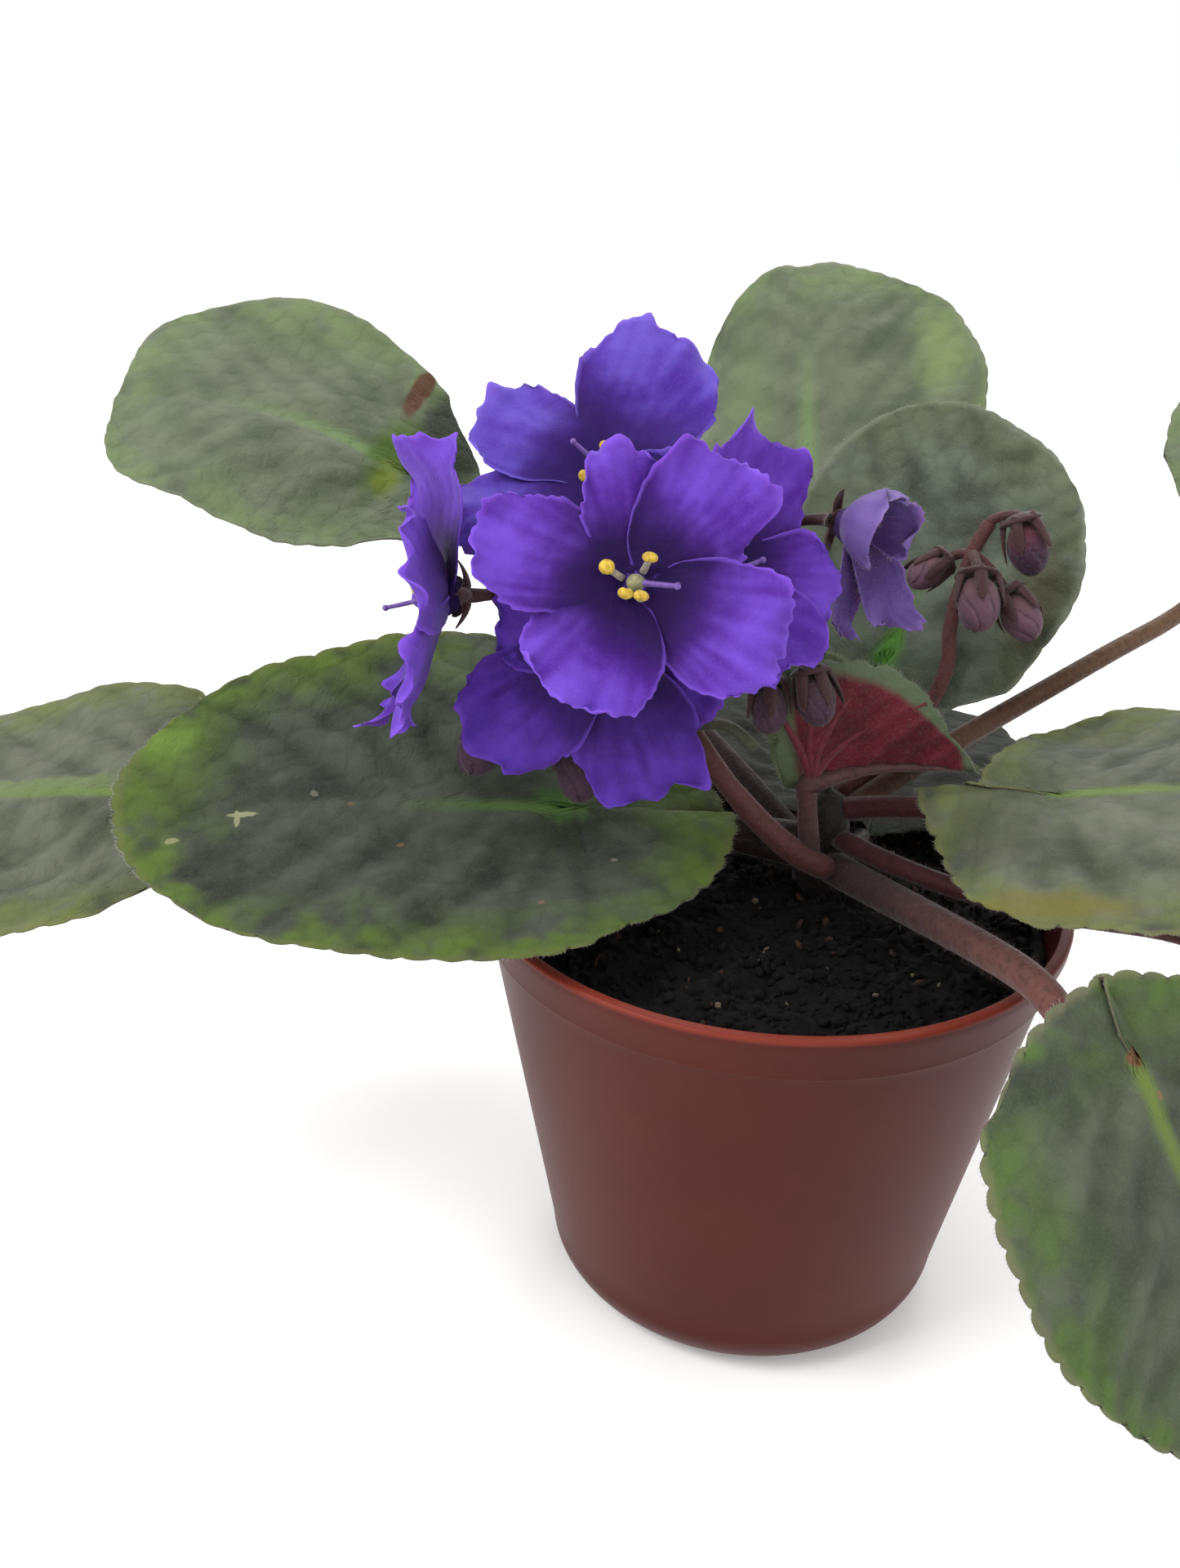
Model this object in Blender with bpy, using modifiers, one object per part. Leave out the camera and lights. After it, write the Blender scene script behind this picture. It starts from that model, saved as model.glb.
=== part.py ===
"""A potted African violet: a tapered plastic pot of potting mix that holds a rosette of stalked,
scalloped leaves round a short crown, with one full cluster of ruffled blooms and one of buds.

Run it with: blender --background --python part.py
Lengths are in metres and angles in degrees. +Z is up, the pot stands on z = 0 with its axis on Z,
and -Y is the side that the blooms face. Plan directions run from +X (0) towards +Y (90).
"""

import math
from typing import NamedTuple

import bmesh
import bpy
from mathutils import Matrix, Vector

# Driving dimensions
POT_HEIGHT = 0.082
POT_TOP_RADIUS = 0.0525
POT_BASE_RADIUS = 0.0372
POT_WALL = 0.0013
POT_FLOOR = 0.0016
POT_CORNER = 0.0095
COLLAR_HEIGHT = 0.0085
COLLAR_STEP = 0.0009
POT_SIDES = 32
DRAIN_HOLES = 6
DRAIN_HOLE_RADIUS = 0.003
DRAIN_RING_RADIUS = 0.021

GAP = 0.0003
SOIL_TOP = 0.0760
SOIL_SWELL = 0.0036
SOIL_LUMP = 0.0008

CROWN_CENTRE = Vector((0.0085, 0.005, 0.0))
CROWN_RADIUS = 0.0055
CROWN_FOOT = 0.063
CROWN_TOP = 0.099
CROWN_SIDES = 12

BLADE_THICKNESS = 0.0011
NOTCH_WIDTH = 0.0045
SCALLOP = 0.0006
MIDRIB_GROOVE = 0.0009
MIDRIB_GROOVE_WIDTH = 0.003
STALK_STEPS = 6

PETAL_THICKNESS = 0.0007
PETAL_ROWS = 4
PETAL_COLUMNS = 5
SMALL_PETAL = 0.0207
PETAL_ROOT = 0.001
PETAL_PINWHEEL = 0.13
THROAT_RADIUS = 0.0032
THROAT_DEPTH = 0.0022
ANTHER_RADIUS = 0.0013
FILAMENT_RADIUS = 0.00038
STAMEN_RING = 0.0021
ANTHERS = ((-0.0011, -0.0022, 0.0047), (0.0011, -0.0022, 0.0047), (-0.0044, 0.0012, 0.0036),
           (0.0014, 0.0036, 0.0036))  # across, up and out of the bloom, with the style across
OVARY_RADIUS = 0.0013
STYLE_RADIUS = 0.0004

PEDUNCLE_RADIUS = 0.0021
PEDICEL_RADIUS = 0.001
STUB_RADIUS = 0.0009
CUP_DEPTH = 0.0016
BUD_SEPAL = 0.0072
BLOOM_SEPAL = 0.0046
SEPAL_WIDTH = 0.0026
SEPAL_THICKNESS = 0.001

UP = Vector((0.0, 0.0, 1.0))


class Leaf(NamedTuple):
    """One leaf: where its stalk leaves the crown, and where and how its blade is held."""

    name: str
    level: float  # height at which the stalk leaves the crown
    leaving: float  # plan direction in which it leaves
    rise: float  # slope at which it leaves
    base: tuple  # where the stalk meets the blade
    heading: float  # plan direction of the midrib
    pitch: float  # slope of the midrib at the base
    droop: float  # how far the midrib turns down on its way to the tip
    roll: float  # turn about the midrib, which lifts its left side
    length: float  # base to tip
    width: float
    lobe: float  # reach of the two lobes behind the base, as a share of the length
    curl_left: float  # how far the left half has turned up at the margin
    curl_right: float
    wave: float  # height of the slow waves along the margin
    phase: float  # where those waves start
    stalk: float  # radius of the stalk at the crown
    out_reach: float = 0.4  # share of the way over which the stalk keeps the way that it leaves
    in_reach: float = 0.4  # share over which it already runs the blade's way
    cells: int = 9  # how many cells the blade has along and across
    fold: float = 0  # how steeply both halves rise from the midrib
    taper: float = 0.12  # how much narrower the blade is towards the tip
    left_lobe: float = 1  # how far back the left lobe reaches, as a share of the right one's way
    blunt: float = 0  # how square the tip is


LEAVES = (
    Leaf("leaf_front_left", 0.0888, 197, 10, (-0.0363, -0.0095, 0.0969), 199, 6, 10, -27,
         0.075, 0.074, 0.40, 24, 8, 0.0012, 40, 0.0025),
    Leaf("leaf_left", 0.0840, 178, 10, (-0.1089, -0.0124, 0.0941), 184, -2, 14, -16,
         0.069, 0.069, 0.31, -6, -14, 0.0012, 90, 0.0024, cells=8),
    Leaf("leaf_back_left", 0.0850, 142, 28, (-0.0791, 0.048, 0.1393), 185, 32, 37, -26,
         0.058, 0.0645, 0.34, 1, 3, 0.0012, 10, 0.0022, taper=-0.15, blunt=0.47),
    Leaf("leaf_back", 0.0840, 100, 38, (0.0006, 0.0745, 0.1341), 97, 44, 7, -11,
         0.062, 0.075, 0.28, -80, 10, 0.001, 0, 0.0022),
    Leaf("leaf_back_inner", 0.0885, 66, 48, (0.0172, 0.0264, 0.1157), 60, 49, 14, 25,
         0.056, 0.055, 0.22, 8, 40, 0.001, 0, 0.0022, cells=8),
    Leaf("leaf_back_right", 0.0925, 28, 30, (0.086, 0.049, 0.1385), 38, 30, 8, 27,
         0.054, 0.064, 0.22, -8, -8, 0.0012, 0, 0.0021, cells=7),
    Leaf("leaf_back_low", 0.0824, 45, 5, (0.016, 0.028, 0.0863), 95, 9, 14, 0,
         0.058, 0.070, 0.18, -6, -6, 0.0012, 0, 0.0018, cells=7),
    Leaf("leaf_right", 0.0945, -14, 18, (0.0442, -0.0103, 0.1076), -14, 20, 22, 6,
         0.055, 0.076, 0.38, -12, -12, 0.0012, 0, 0.0021, left_lobe=0.64),
    Leaf("leaf_right_low", 0.0897, -46, 0, (0.080, -0.038, 0.1026), -20, 8, 20, 8,
         0.050, 0.054, 0.26, -8, -8, 0.0012, 0, 0.0019, 0.55, 0.2, 7),
    Leaf("leaf_front_right", 0.0840, -56, 7, (0.0510, -0.0645, 0.0935), -48, -46, 16, 1,
         0.052, 0.065, 0.23, -5, -7, 0.0012, 0, 0.0031, 0.4, 0.12),
    Leaf("leaf_young", 0.0912, 250, 78, (0.0048, -0.0006, 0.1038), 13, 17, 34, -24,
         0.031, 0.0334, 0.18, 62, 36, 0.0006, 0, 0.0020, 0.4, 0.05, 8, fold=42, taper=0.95),
)


class Petal(NamedTuple):
    """One lobe of a corolla, as it is seen from in front."""

    angle: float  # which way it points
    length: float
    width: float
    lift: float  # how far it leans forward, out of the bloom's plane
    twist: float = 0  # slope across it, which turns it about its own length


class Bloom(NamedTuple):
    """One flower: its throat, the way that it faces and its petals."""

    name: str
    centre: tuple
    azimuth: float
    elevation: float
    petals: tuple
    ruffle: float
    style: float  # which way the style leans
    style_rise: float = 25  # how far the style stands out of the bloom's plane


BLOOMS = (
    Bloom("bloom_front", (-0.0230, -0.0342, 0.1446), -83, 27, (
        Petal(165, 0.0250, 0.020, 6), Petal(92, 0.0200, 0.019, 6), Petal(50, 0.0240, 0.022, 4),
        Petal(-26, 0.0238, 0.023, 8), Petal(-118, 0.0215, 0.025, 12)), 0.0013, -8),
    Bloom("bloom_back", (-0.0326, 0.0, 0.1520), -83, 44, (
        Petal(66, 0.0288, 0.029, 2), Petal(150, 0.0250, 0.022, 2), Petal(207, 0.0260, 0.024, 2),
        Petal(-8, 0.0140, 0.014, 0), Petal(-80, 0.0140, 0.014, 0)), 0.0013, 150),
    Bloom("bloom_low", (-0.0283, -0.0235, 0.1315), -88, 13, (
        Petal(222, 0.0260, 0.024, 2), Petal(-68, 0.0265, 0.025, 0), Petal(-36, 0.0194, 0.022, -3),
        Petal(112, 0.0070, 0.008, -10), Petal(168, 0.0184, 0.018, -2)), 0.0013, 200),
    Bloom("bloom_right", (-0.0124, -0.0098, 0.1395), -65, 19, (
        Petal(63, 0.0250, 0.023, 2), Petal(-14, 0.0203, 0.022, 2), Petal(-56, 0.0205, 0.021, 9),
        Petal(138, 0.0120, 0.012, -6), Petal(208, 0.0095, 0.010, -10)), 0.0013, 20),
    Bloom("bloom_left", (-0.0531, -0.0229, 0.1372), -162, 2, (
        Petal(104, 0.0248, 0.022, 9, 0.25), Petal(36, 0.0220, 0.023, 22), Petal(-40, 0.0235, 0.022, 22),
        Petal(-112, 0.0266, 0.021, 20, 0.2), Petal(178, 0.0180, 0.018, 12)), 0.0016, -120, 62),
    Bloom("bloom_opening", (0.0074, -0.0010, 0.1469), -35, 0, (
        Petal(74, 0.0140, 0.015, 56), Petal(12, 0.0145, 0.014, 58), Petal(-60, 0.0212, 0.011, 18),
        Petal(-84, 0.0198, 0.007, 4), Petal(150, 0.0140, 0.015, 60)), 0.0006, -40),
)


class Bud(NamedTuple):
    """One closed bud: its middle, the way that its tip points, and its half length."""

    name: str
    centre: tuple
    azimuth: float
    elevation: float
    size: float


MAIN_BUDS = (
    Bud("bud_main_1", (-0.0485, -0.0195, 0.1108), -140, -60, 0.0052),
    Bud("bud_main_2", (-0.0321, -0.0212, 0.1088), -80, -60, 0.0052),
    Bud("bud_main_3", (-0.0028, -0.0100, 0.1178), -80, -60, 0.0042),
    Bud("bud_main_4", (0.0047, -0.0097, 0.1199), -50, -65, 0.0044),
)
RIGHT_BUDS = (
    Bud("bud_right_1", (0.0392, 0.0235, 0.1385), -40, -62, 0.0048),
    Bud("bud_right_2", (0.0310, 0.0145, 0.1306), -85, -50, 0.0050),
    Bud("bud_right_3", (0.0390, 0.0180, 0.1278), -40, -45, 0.0046),
    Bud("bud_right_4", (0.0225, 0.0250, 0.1325), -150, -30, 0.0038),
)
MAIN_FORK = Vector((-0.0229, -0.0023, 0.1230))
RIGHT_STALK = ((0.0205, 0.0160, 0.1010), (0.0273, 0.0190, 0.1151), (0.0277, 0.0222, 0.1248),
               (0.0300, 0.0253, 0.1361), (0.0325, 0.0266, 0.1419))
STUB = ((-0.0122, -0.0055, 0.1125), (-0.0085, -0.0076, 0.1128), (-0.0044, -0.0080, 0.1097))


def clear_scene():
    """Empties the scene of what a new file holds."""
    for item in list(bpy.data.objects):
        bpy.data.objects.remove(item)


def new_collection(name):
    """Adds a collection to the scene."""
    collection = bpy.data.collections.new(name)
    bpy.context.scene.collection.children.link(collection)
    return collection


def finish(name, colour, roughness):
    """A plain material of that colour."""
    made = bpy.data.materials.new(name)
    made.use_nodes = True
    shader = made.node_tree.nodes["Principled BSDF"]
    shader.inputs["Base Color"].default_value = (*colour, 1.0)
    shader.inputs["Roughness"].default_value = roughness
    return made


def direction(azimuth, elevation):
    """The unit vector that points that way in plan and that far above the horizon."""
    turn, lift = math.radians(azimuth), math.radians(elevation)
    return Vector((math.cos(turn) * math.cos(lift), math.sin(turn) * math.cos(lift), math.sin(lift)))


def facing(centre, azimuth, elevation):
    """The placing that turns +Z to that direction, with +X level and +Y as near up as it can be."""
    ahead = direction(azimuth, elevation)
    level = UP.cross(ahead).normalized()
    turn = Matrix((level, ahead.cross(level), ahead)).transposed().to_4x4()
    return Matrix.Translation(centre) @ turn


def add_mesh(name, shape, home):
    """Makes an object of a bmesh."""
    mesh = bpy.data.meshes.new(name)
    shape.to_mesh(mesh)
    shape.free()
    made = bpy.data.objects.new(name, mesh)
    home.objects.link(made)
    return made


def settled(item, name, home):
    """A plain mesh of the item as its modifiers leave it, in place of the item."""
    bpy.context.view_layer.update()
    graph = bpy.context.evaluated_depsgraph_get()
    mesh = bpy.data.meshes.new_from_object(item.evaluated_get(graph))
    mesh.transform(item.matrix_world)
    shape = bmesh.new()
    shape.from_mesh(mesh)
    bmesh.ops.remove_doubles(shape, verts=shape.verts, dist=1e-6)
    bpy.data.meshes.remove(mesh)
    bpy.data.objects.remove(item)
    return add_mesh(name, shape, home)


def combined(name, body, others, operation, home):
    """The body after one Boolean with all the others, which are used up."""
    group = new_collection(name + "_others")
    for item in others:
        group.objects.link(item)
    change = body.modifiers.new("combine", "BOOLEAN")
    change.operation = operation
    change.operand_type = "COLLECTION"
    change.collection = group
    change.solver = "EXACT"
    made = settled(body, name, home)
    for item in others:
        bpy.data.objects.remove(item)
    bpy.data.collections.remove(group)
    return made


def fused(name, pieces, home):
    """Joins pieces that overlap in one closed body."""
    return combined(name, pieces[0], pieces[1:], "UNION", home)


def turned(name, profile, sides, home):
    """A solid of revolution round Z from a profile of radius and height that starts and ends on Z."""
    shape = bmesh.new()
    points = [shape.verts.new((radius, 0.0, height)) for radius, height in profile]
    for start, end in zip(points, points[1:]):
        shape.edges.new((start, end))
    made = add_mesh(name, shape, home)
    screw = made.modifiers.new("turn", "SCREW")
    screw.axis = "Z"
    screw.steps = sides
    screw.render_steps = sides
    screw.use_merge_vertices = True
    screw.merge_threshold = 0.00001
    return settled(made, name, home)


def thin_sheet(name, rows, columns, place, thickness, home):
    """A grid that place(a, b) moves, for a and b from -1 to 1, given a thickness behind its face."""
    shape = bmesh.new()
    bmesh.ops.create_grid(shape, x_segments=rows, y_segments=columns, size=1.0)
    for vertex in shape.verts:
        vertex.co = place(vertex.co.x, vertex.co.y)
    bmesh.ops.triangulate(shape, faces=shape.faces)
    made = add_mesh(name, shape, home)
    wall = made.modifiers.new("thickness", "SOLIDIFY")
    wall.thickness = thickness
    wall.offset = -1.0
    return settled(made, name, home)


def tube(name, points, radii, home, roundness, closed=False):
    """A round stem along the points, as thick at each as its radius says, or a ring of it."""
    curve = bpy.data.curves.new(name, "CURVE")
    curve.dimensions = "3D"
    curve.bevel_depth = 1.0
    curve.bevel_resolution = roundness
    curve.use_fill_caps = True
    spline = curve.splines.new("POLY")
    spline.points.add(len(points) - 1)
    spline.use_cyclic_u = closed
    for place, point, radius in zip(spline.points, points, radii):
        place.co = (*point, 1.0)
        place.radius = radius
    made = bpy.data.objects.new(name, curve)
    home.objects.link(made)
    return settled(made, name, home)


def ball(name, placing, radii, home, sides=6, rings=4):
    """An ellipsoid with those three half sizes."""
    shape = bmesh.new()
    bmesh.ops.create_uvsphere(shape, u_segments=sides, v_segments=rings, radius=1.0)
    made = add_mesh(name, shape, home)
    made.data.transform(placing @ Matrix.Diagonal((*radii, 1.0)))
    return made


def arc_between(start, leaving, end, arriving, steps):
    """Points on a cubic curve that leaves start and reaches end along those two vectors."""
    handles = (start, start + leaving, end - arriving, end)
    points = []
    for step in range(steps + 1):
        t = step / steps
        weights = ((1 - t) ** 3, 3 * t * (1 - t) ** 2, 3 * t * t * (1 - t), t ** 3)
        points.append(sum((w * h for w, h in zip(weights, handles)), Vector()))
    return points


def off_crown(level, azimuth, rise, radius):
    """Where a stalk of that radius starts, just clear of the crown."""
    clear = CROWN_RADIUS + GAP + radius * math.sin(math.radians(abs(rise)))
    return CROWN_CENTRE + direction(azimuth, 0) * clear + UP * level


def wall_radius(height):
    """Outer radius of the pot's tapered wall at that height, collar left out."""
    taper = (POT_TOP_RADIUS - COLLAR_STEP - POT_BASE_RADIUS) / (POT_HEIGHT - POT_CORNER)
    return POT_BASE_RADIUS + taper * (height - POT_CORNER)


def soil_radius(height):
    """Radius of the potting mix at that height, a gap inside the pot."""
    return wall_radius(height) - POT_WALL - GAP


def add_pot(home, cutters):
    """The pot: a tapered wall, a collar that steps out round the top, and a floor with drain holes."""
    collar_foot = POT_HEIGHT - COLLAR_HEIGHT
    inside_corner = POT_CORNER - POT_WALL
    profile = [(0.0, POT_FLOOR)]
    for angle in (270, 315, 360):
        turn = math.radians(angle)
        profile.append((POT_BASE_RADIUS - POT_CORNER + inside_corner * math.cos(turn),
                        POT_FLOOR + inside_corner + inside_corner * math.sin(turn)))
    profile += [
        (wall_radius(POT_HEIGHT) - POT_WALL, POT_HEIGHT - 0.0004),
        (wall_radius(POT_HEIGHT) - POT_WALL + 0.0004, POT_HEIGHT),
        (POT_TOP_RADIUS - 0.0004, POT_HEIGHT),
        (POT_TOP_RADIUS, POT_HEIGHT - 0.0005),
        (wall_radius(collar_foot) + COLLAR_STEP, collar_foot + 0.0007),
        (wall_radius(collar_foot), collar_foot),
    ]
    for angle in (360, 337.5, 315, 292.5, 270):
        turn = math.radians(angle)
        profile.append((POT_BASE_RADIUS - POT_CORNER + POT_CORNER * math.cos(turn),
                        POT_CORNER + POT_CORNER * math.sin(turn)))
    profile.append((0.0, 0.0))
    pot = turned("pot_body", profile, POT_SIDES, home)
    holes = []
    for index in range(DRAIN_HOLES):
        azimuth = 360 * index / DRAIN_HOLES
        shape = bmesh.new()
        bmesh.ops.create_cone(shape, cap_ends=True, segments=8, radius1=DRAIN_HOLE_RADIUS,
                              radius2=DRAIN_HOLE_RADIUS, depth=0.01)
        hole = add_mesh("drain_hole", shape, cutters)
        hole.data.transform(Matrix.Translation(direction(azimuth, 0) * DRAIN_RING_RADIUS))
        holes.append(hole)
    return combined("pot", pot, holes, "DIFFERENCE", home)


def add_soil(home, cutters):
    """The potting mix: it fills the pot, has a lumpy top and a plain hole for the crown."""
    edge = soil_radius(SOIL_TOP)
    corner = POT_CORNER + 0.001
    profile = [(0.0, SOIL_TOP), (0.012, SOIL_TOP), (0.022, SOIL_TOP), (0.031, SOIL_TOP),
               (0.040, SOIL_TOP), (edge - 0.001, SOIL_TOP), (edge, SOIL_TOP - 0.0015),
               (soil_radius(corner), corner), (POT_BASE_RADIUS - POT_CORNER, POT_FLOOR + GAP * 2),
               (0.0, POT_FLOOR + GAP * 2)]
    soil = turned("soil_body", profile, POT_SIDES, home)
    for vertex in soil.data.vertices:
        x, y, z = vertex.co
        reach = math.hypot(x, y)
        if z > SOIL_TOP - 0.0001 and reach < edge - 0.0005:
            lump = math.sin(310 * x + 1.1) * math.cos(270 * y) + math.sin(590 * (x - y) + 0.4)
            vertex.co.z += SOIL_SWELL * (1 - reach / edge) + SOIL_LUMP * lump / 2
    shape = bmesh.new()
    bmesh.ops.create_cone(shape, cap_ends=True, segments=CROWN_SIDES, radius1=CROWN_RADIUS + GAP,
                          radius2=CROWN_RADIUS + GAP, depth=0.04)
    hole = add_mesh("crown_hole", shape, cutters)
    hole.data.transform(Matrix.Translation(CROWN_CENTRE + UP * (CROWN_FOOT - GAP + 0.02)))
    return combined("soil", soil, [hole], "DIFFERENCE", home)


def add_crown(home):
    """The short stem in the middle, which every stalk leaves from."""
    height = CROWN_TOP - CROWN_FOOT
    profile = [(0.0, height), (0.0025, height - 0.0004), (0.0047, height - 0.0016),
               (CROWN_RADIUS, height - 0.0045), (CROWN_RADIUS, 0.0), (0.0, 0.0)]
    crown = turned("crown", profile, CROWN_SIDES, home)
    crown.data.transform(Matrix.Translation(CROWN_CENTRE + UP * CROWN_FOOT))
    return crown


def blade_frame(leaf, along):
    """Centre of the midrib that far along it, with the directions along, left and out of the blade."""
    ahead = direction(leaf.heading, 0)
    start = math.radians(leaf.pitch)
    bend = math.radians(leaf.droop) / leaf.length
    slope = start - bend * max(along, 0.0)
    centre = Vector(leaf.base)
    if along > 0:
        centre += ahead * ((math.sin(start) - math.sin(slope)) / bend)
        centre += UP * ((math.cos(slope) - math.cos(start)) / bend)
    else:
        centre += along * (ahead * math.cos(start) + UP * math.sin(start))
    tangent = ahead * math.cos(slope) + UP * math.sin(slope)
    turn = Matrix.Rotation(math.radians(leaf.roll), 3, tangent)
    left = turn @ UP.cross(ahead)
    return centre, tangent, left, tangent.cross(left)


def blade_point(leaf, along, across, depth=0.0):
    """A point of the upper face, or that far below it, by its distances along and across."""
    centre, _, left, out = blade_frame(leaf, along)
    start = math.radians(leaf.fold)
    bend = 2 * math.radians(leaf.curl_left if across > 0 else leaf.curl_right) / leaf.width
    end = start + bend * abs(across)
    sideways = math.copysign((math.sin(end) - math.sin(start)) / bend, across)
    lift = (math.cos(start) - math.cos(end)) / bend
    groove = MIDRIB_GROOVE * math.exp(-((across / MIDRIB_GROOVE_WIDTH) ** 2))
    return centre + sideways * left + (lift - groove - depth) * out


def blade_outline(leaf, a, b):
    """Distances along and across for a point of the square from -1 to 1, bent to a heart shape."""
    lobe = leaf.length * leaf.lobe
    half = (leaf.length + lobe) / 2
    x = a * math.sqrt(1 - b * b / 2)
    y = b * math.sqrt(1 - a * a / 2)
    if max(abs(a), abs(b)) > 0.999:
        corner = round((a + 1) / 2 * leaf.cells) + round((b + 1) / 2 * leaf.cells)
        tooth = SCALLOP if corner % 2 else -SCALLOP
        x += tooth / half * x
        y += tooth / (leaf.width / 2) * y
    across = leaf.width / 2 * y * (1 - leaf.taper * x)
    x *= 1 + leaf.blunt * max(0.0, x) * (1 - x * x)
    along = half * (x + 1) - lobe
    along += lobe * math.exp(-((across / NOTCH_WIDTH) ** 2)) * ((1 - x) / 2) ** 3
    if along < 0 and across > 0:
        along *= leaf.left_lobe
    return along, across


def leaf_blade(leaf, home):
    """The heart-shaped blade with its scalloped, gently waved margin."""

    def place(a, b):
        along, across = blade_outline(leaf, a, b)
        reach = max(abs(a), abs(b)) ** 3
        turn = 3 * math.atan2(b, a) + math.radians(leaf.phase)
        return blade_point(leaf, along, across, -leaf.wave * reach * math.sin(turn))

    return thin_sheet(leaf.name + "_blade", leaf.cells, leaf.cells, place, BLADE_THICKNESS, home)


def leaf_stalk(leaf, home):
    """The stalk, from the crown to the blade and on under it as its midrib."""
    out = direction(leaf.leaving, leaf.rise)
    start = off_crown(leaf.level, leaf.leaving, leaf.rise, leaf.stalk)
    _, tangent, _, _ = blade_frame(leaf, 0.0)
    neck = leaf.stalk * 0.72
    end = blade_point(leaf, -0.001, 0.0, neck + BLADE_THICKNESS * 0.3)
    span = (end - start).length
    points = arc_between(start, out * span * leaf.out_reach, end, tangent * span * leaf.in_reach,
                         STALK_STEPS)
    radii = [leaf.stalk + (neck - leaf.stalk) * step / STALK_STEPS for step in range(STALK_STEPS + 1)]
    for share, radius in ((0.14, 0.0013), (0.32, 0.0009), (0.5, 0.0005)):
        middle = BLADE_THICKNESS * 0.5 + radius * 0.75
        points.append(blade_point(leaf, leaf.length * share, 0.0, middle))
        radii.append(radius)
    return tube(leaf.name + "_stalk", points, radii, home, 1)


def add_leaf(leaf, home):
    """One leaf, its blade and its stalk in one body."""
    return fused(leaf.name, [leaf_blade(leaf, home), leaf_stalk(leaf, home)], home)


def petal_point(bloom, petal, a, b):
    """A point of a petal's face in the bloom's own frame, for a and b from -1 to 1."""
    x = a * math.sqrt(1 - b * b / 2)
    y = b * math.sqrt(1 - a * a / 2)
    share = (x + 1) / 2
    along = PETAL_ROOT + (petal.length - PETAL_ROOT) * share
    across = petal.width / 2 * y * (0.62 + 0.38 * share)
    lean = math.radians(petal.lift)
    reach = along - PETAL_ROOT
    along = PETAL_ROOT + reach * math.cos(lean)
    height = reach * math.sin(lean) + (PETAL_PINWHEEL * share + petal.twist) * across
    edge = max(abs(a), abs(b)) ** 3 * share
    wave = math.sin(8.5 * b + petal.angle) + math.sin(5.5 * a * (1 if b > 0 else -1) + petal.angle)
    height += bloom.ruffle * edge * wave / 1.4
    turn = Matrix.Rotation(math.radians(petal.angle), 3, "Z")
    return turn @ Vector((along, across, height))


def add_corolla(bloom, home):
    """The ruffled petals, joined round a short throat."""
    placing = facing(bloom.centre, bloom.azimuth, bloom.elevation)
    shape = bmesh.new()
    bmesh.ops.create_cone(shape, cap_ends=True, segments=8, radius1=THROAT_RADIUS * 0.7,
                          radius2=THROAT_RADIUS, depth=THROAT_DEPTH)
    throat = add_mesh("throat", shape, home)
    throat.data.transform(placing @ Matrix.Translation((0, 0, -THROAT_DEPTH / 2 + 0.0004)))
    pieces = [throat]
    for petal in bloom.petals:

        def place(a, b):
            return placing @ petal_point(bloom, petal, a, b)

        fewer = 1 if petal.length < SMALL_PETAL else 0
        pieces.append(thin_sheet("petal", PETAL_ROWS - fewer, PETAL_COLUMNS - fewer, place,
                                 PETAL_THICKNESS, home))
    return fused(bloom.name, pieces, home)


def add_pistil(bloom, home):
    """The round ovary in the throat and the style that leans from it."""
    placing = facing(bloom.centre, bloom.azimuth, bloom.elevation)
    lean = direction(bloom.style, bloom.style_rise)
    foot = Vector((0, 0, 0.0004 + GAP + OVARY_RADIUS))
    ovary = ball("ovary", placing @ Matrix.Translation(foot), (OVARY_RADIUS,) * 3, home)
    path = [placing @ (foot + lean * reach) for reach in (0.0006, 0.003, 0.0065)]
    style = tube("style", path, (STYLE_RADIUS, STYLE_RADIUS, STYLE_RADIUS * 1.4), home, 0)
    return fused(bloom.name + "_pistil", [ovary, style], home)


def add_stamens(bloom, home):
    """The anthers, a pair in front of the ovary and two single ones, on a ring of filaments."""
    placing = facing(bloom.centre, bloom.azimuth, bloom.elevation)
    placing = placing @ Matrix.Rotation(math.radians(bloom.style), 4, "Z")
    level = 0.0004 + GAP + FILAMENT_RADIUS
    ring = [placing @ (direction(60 * step, 0) * STAMEN_RING + UP * level) for step in range(6)]
    pieces = [tube("ring", ring, (FILAMENT_RADIUS,) * 6, home, 0, True)]
    for x, y, height in ANTHERS:
        top = Vector((x, y, height))
        foot = Vector((x, y, 0.0)).normalized() * STAMEN_RING + UP * level
        pieces.append(tube("filament", [placing @ foot, placing @ top], (FILAMENT_RADIUS,) * 2, home, 0))
        seat = placing @ Matrix.Translation(top)
        pieces.append(ball("anther", seat, (ANTHER_RADIUS, ANTHER_RADIUS * 0.8, ANTHER_RADIUS), home,
                           6, 3))
    return fused(bloom.name + "_stamens", pieces, home)


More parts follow.
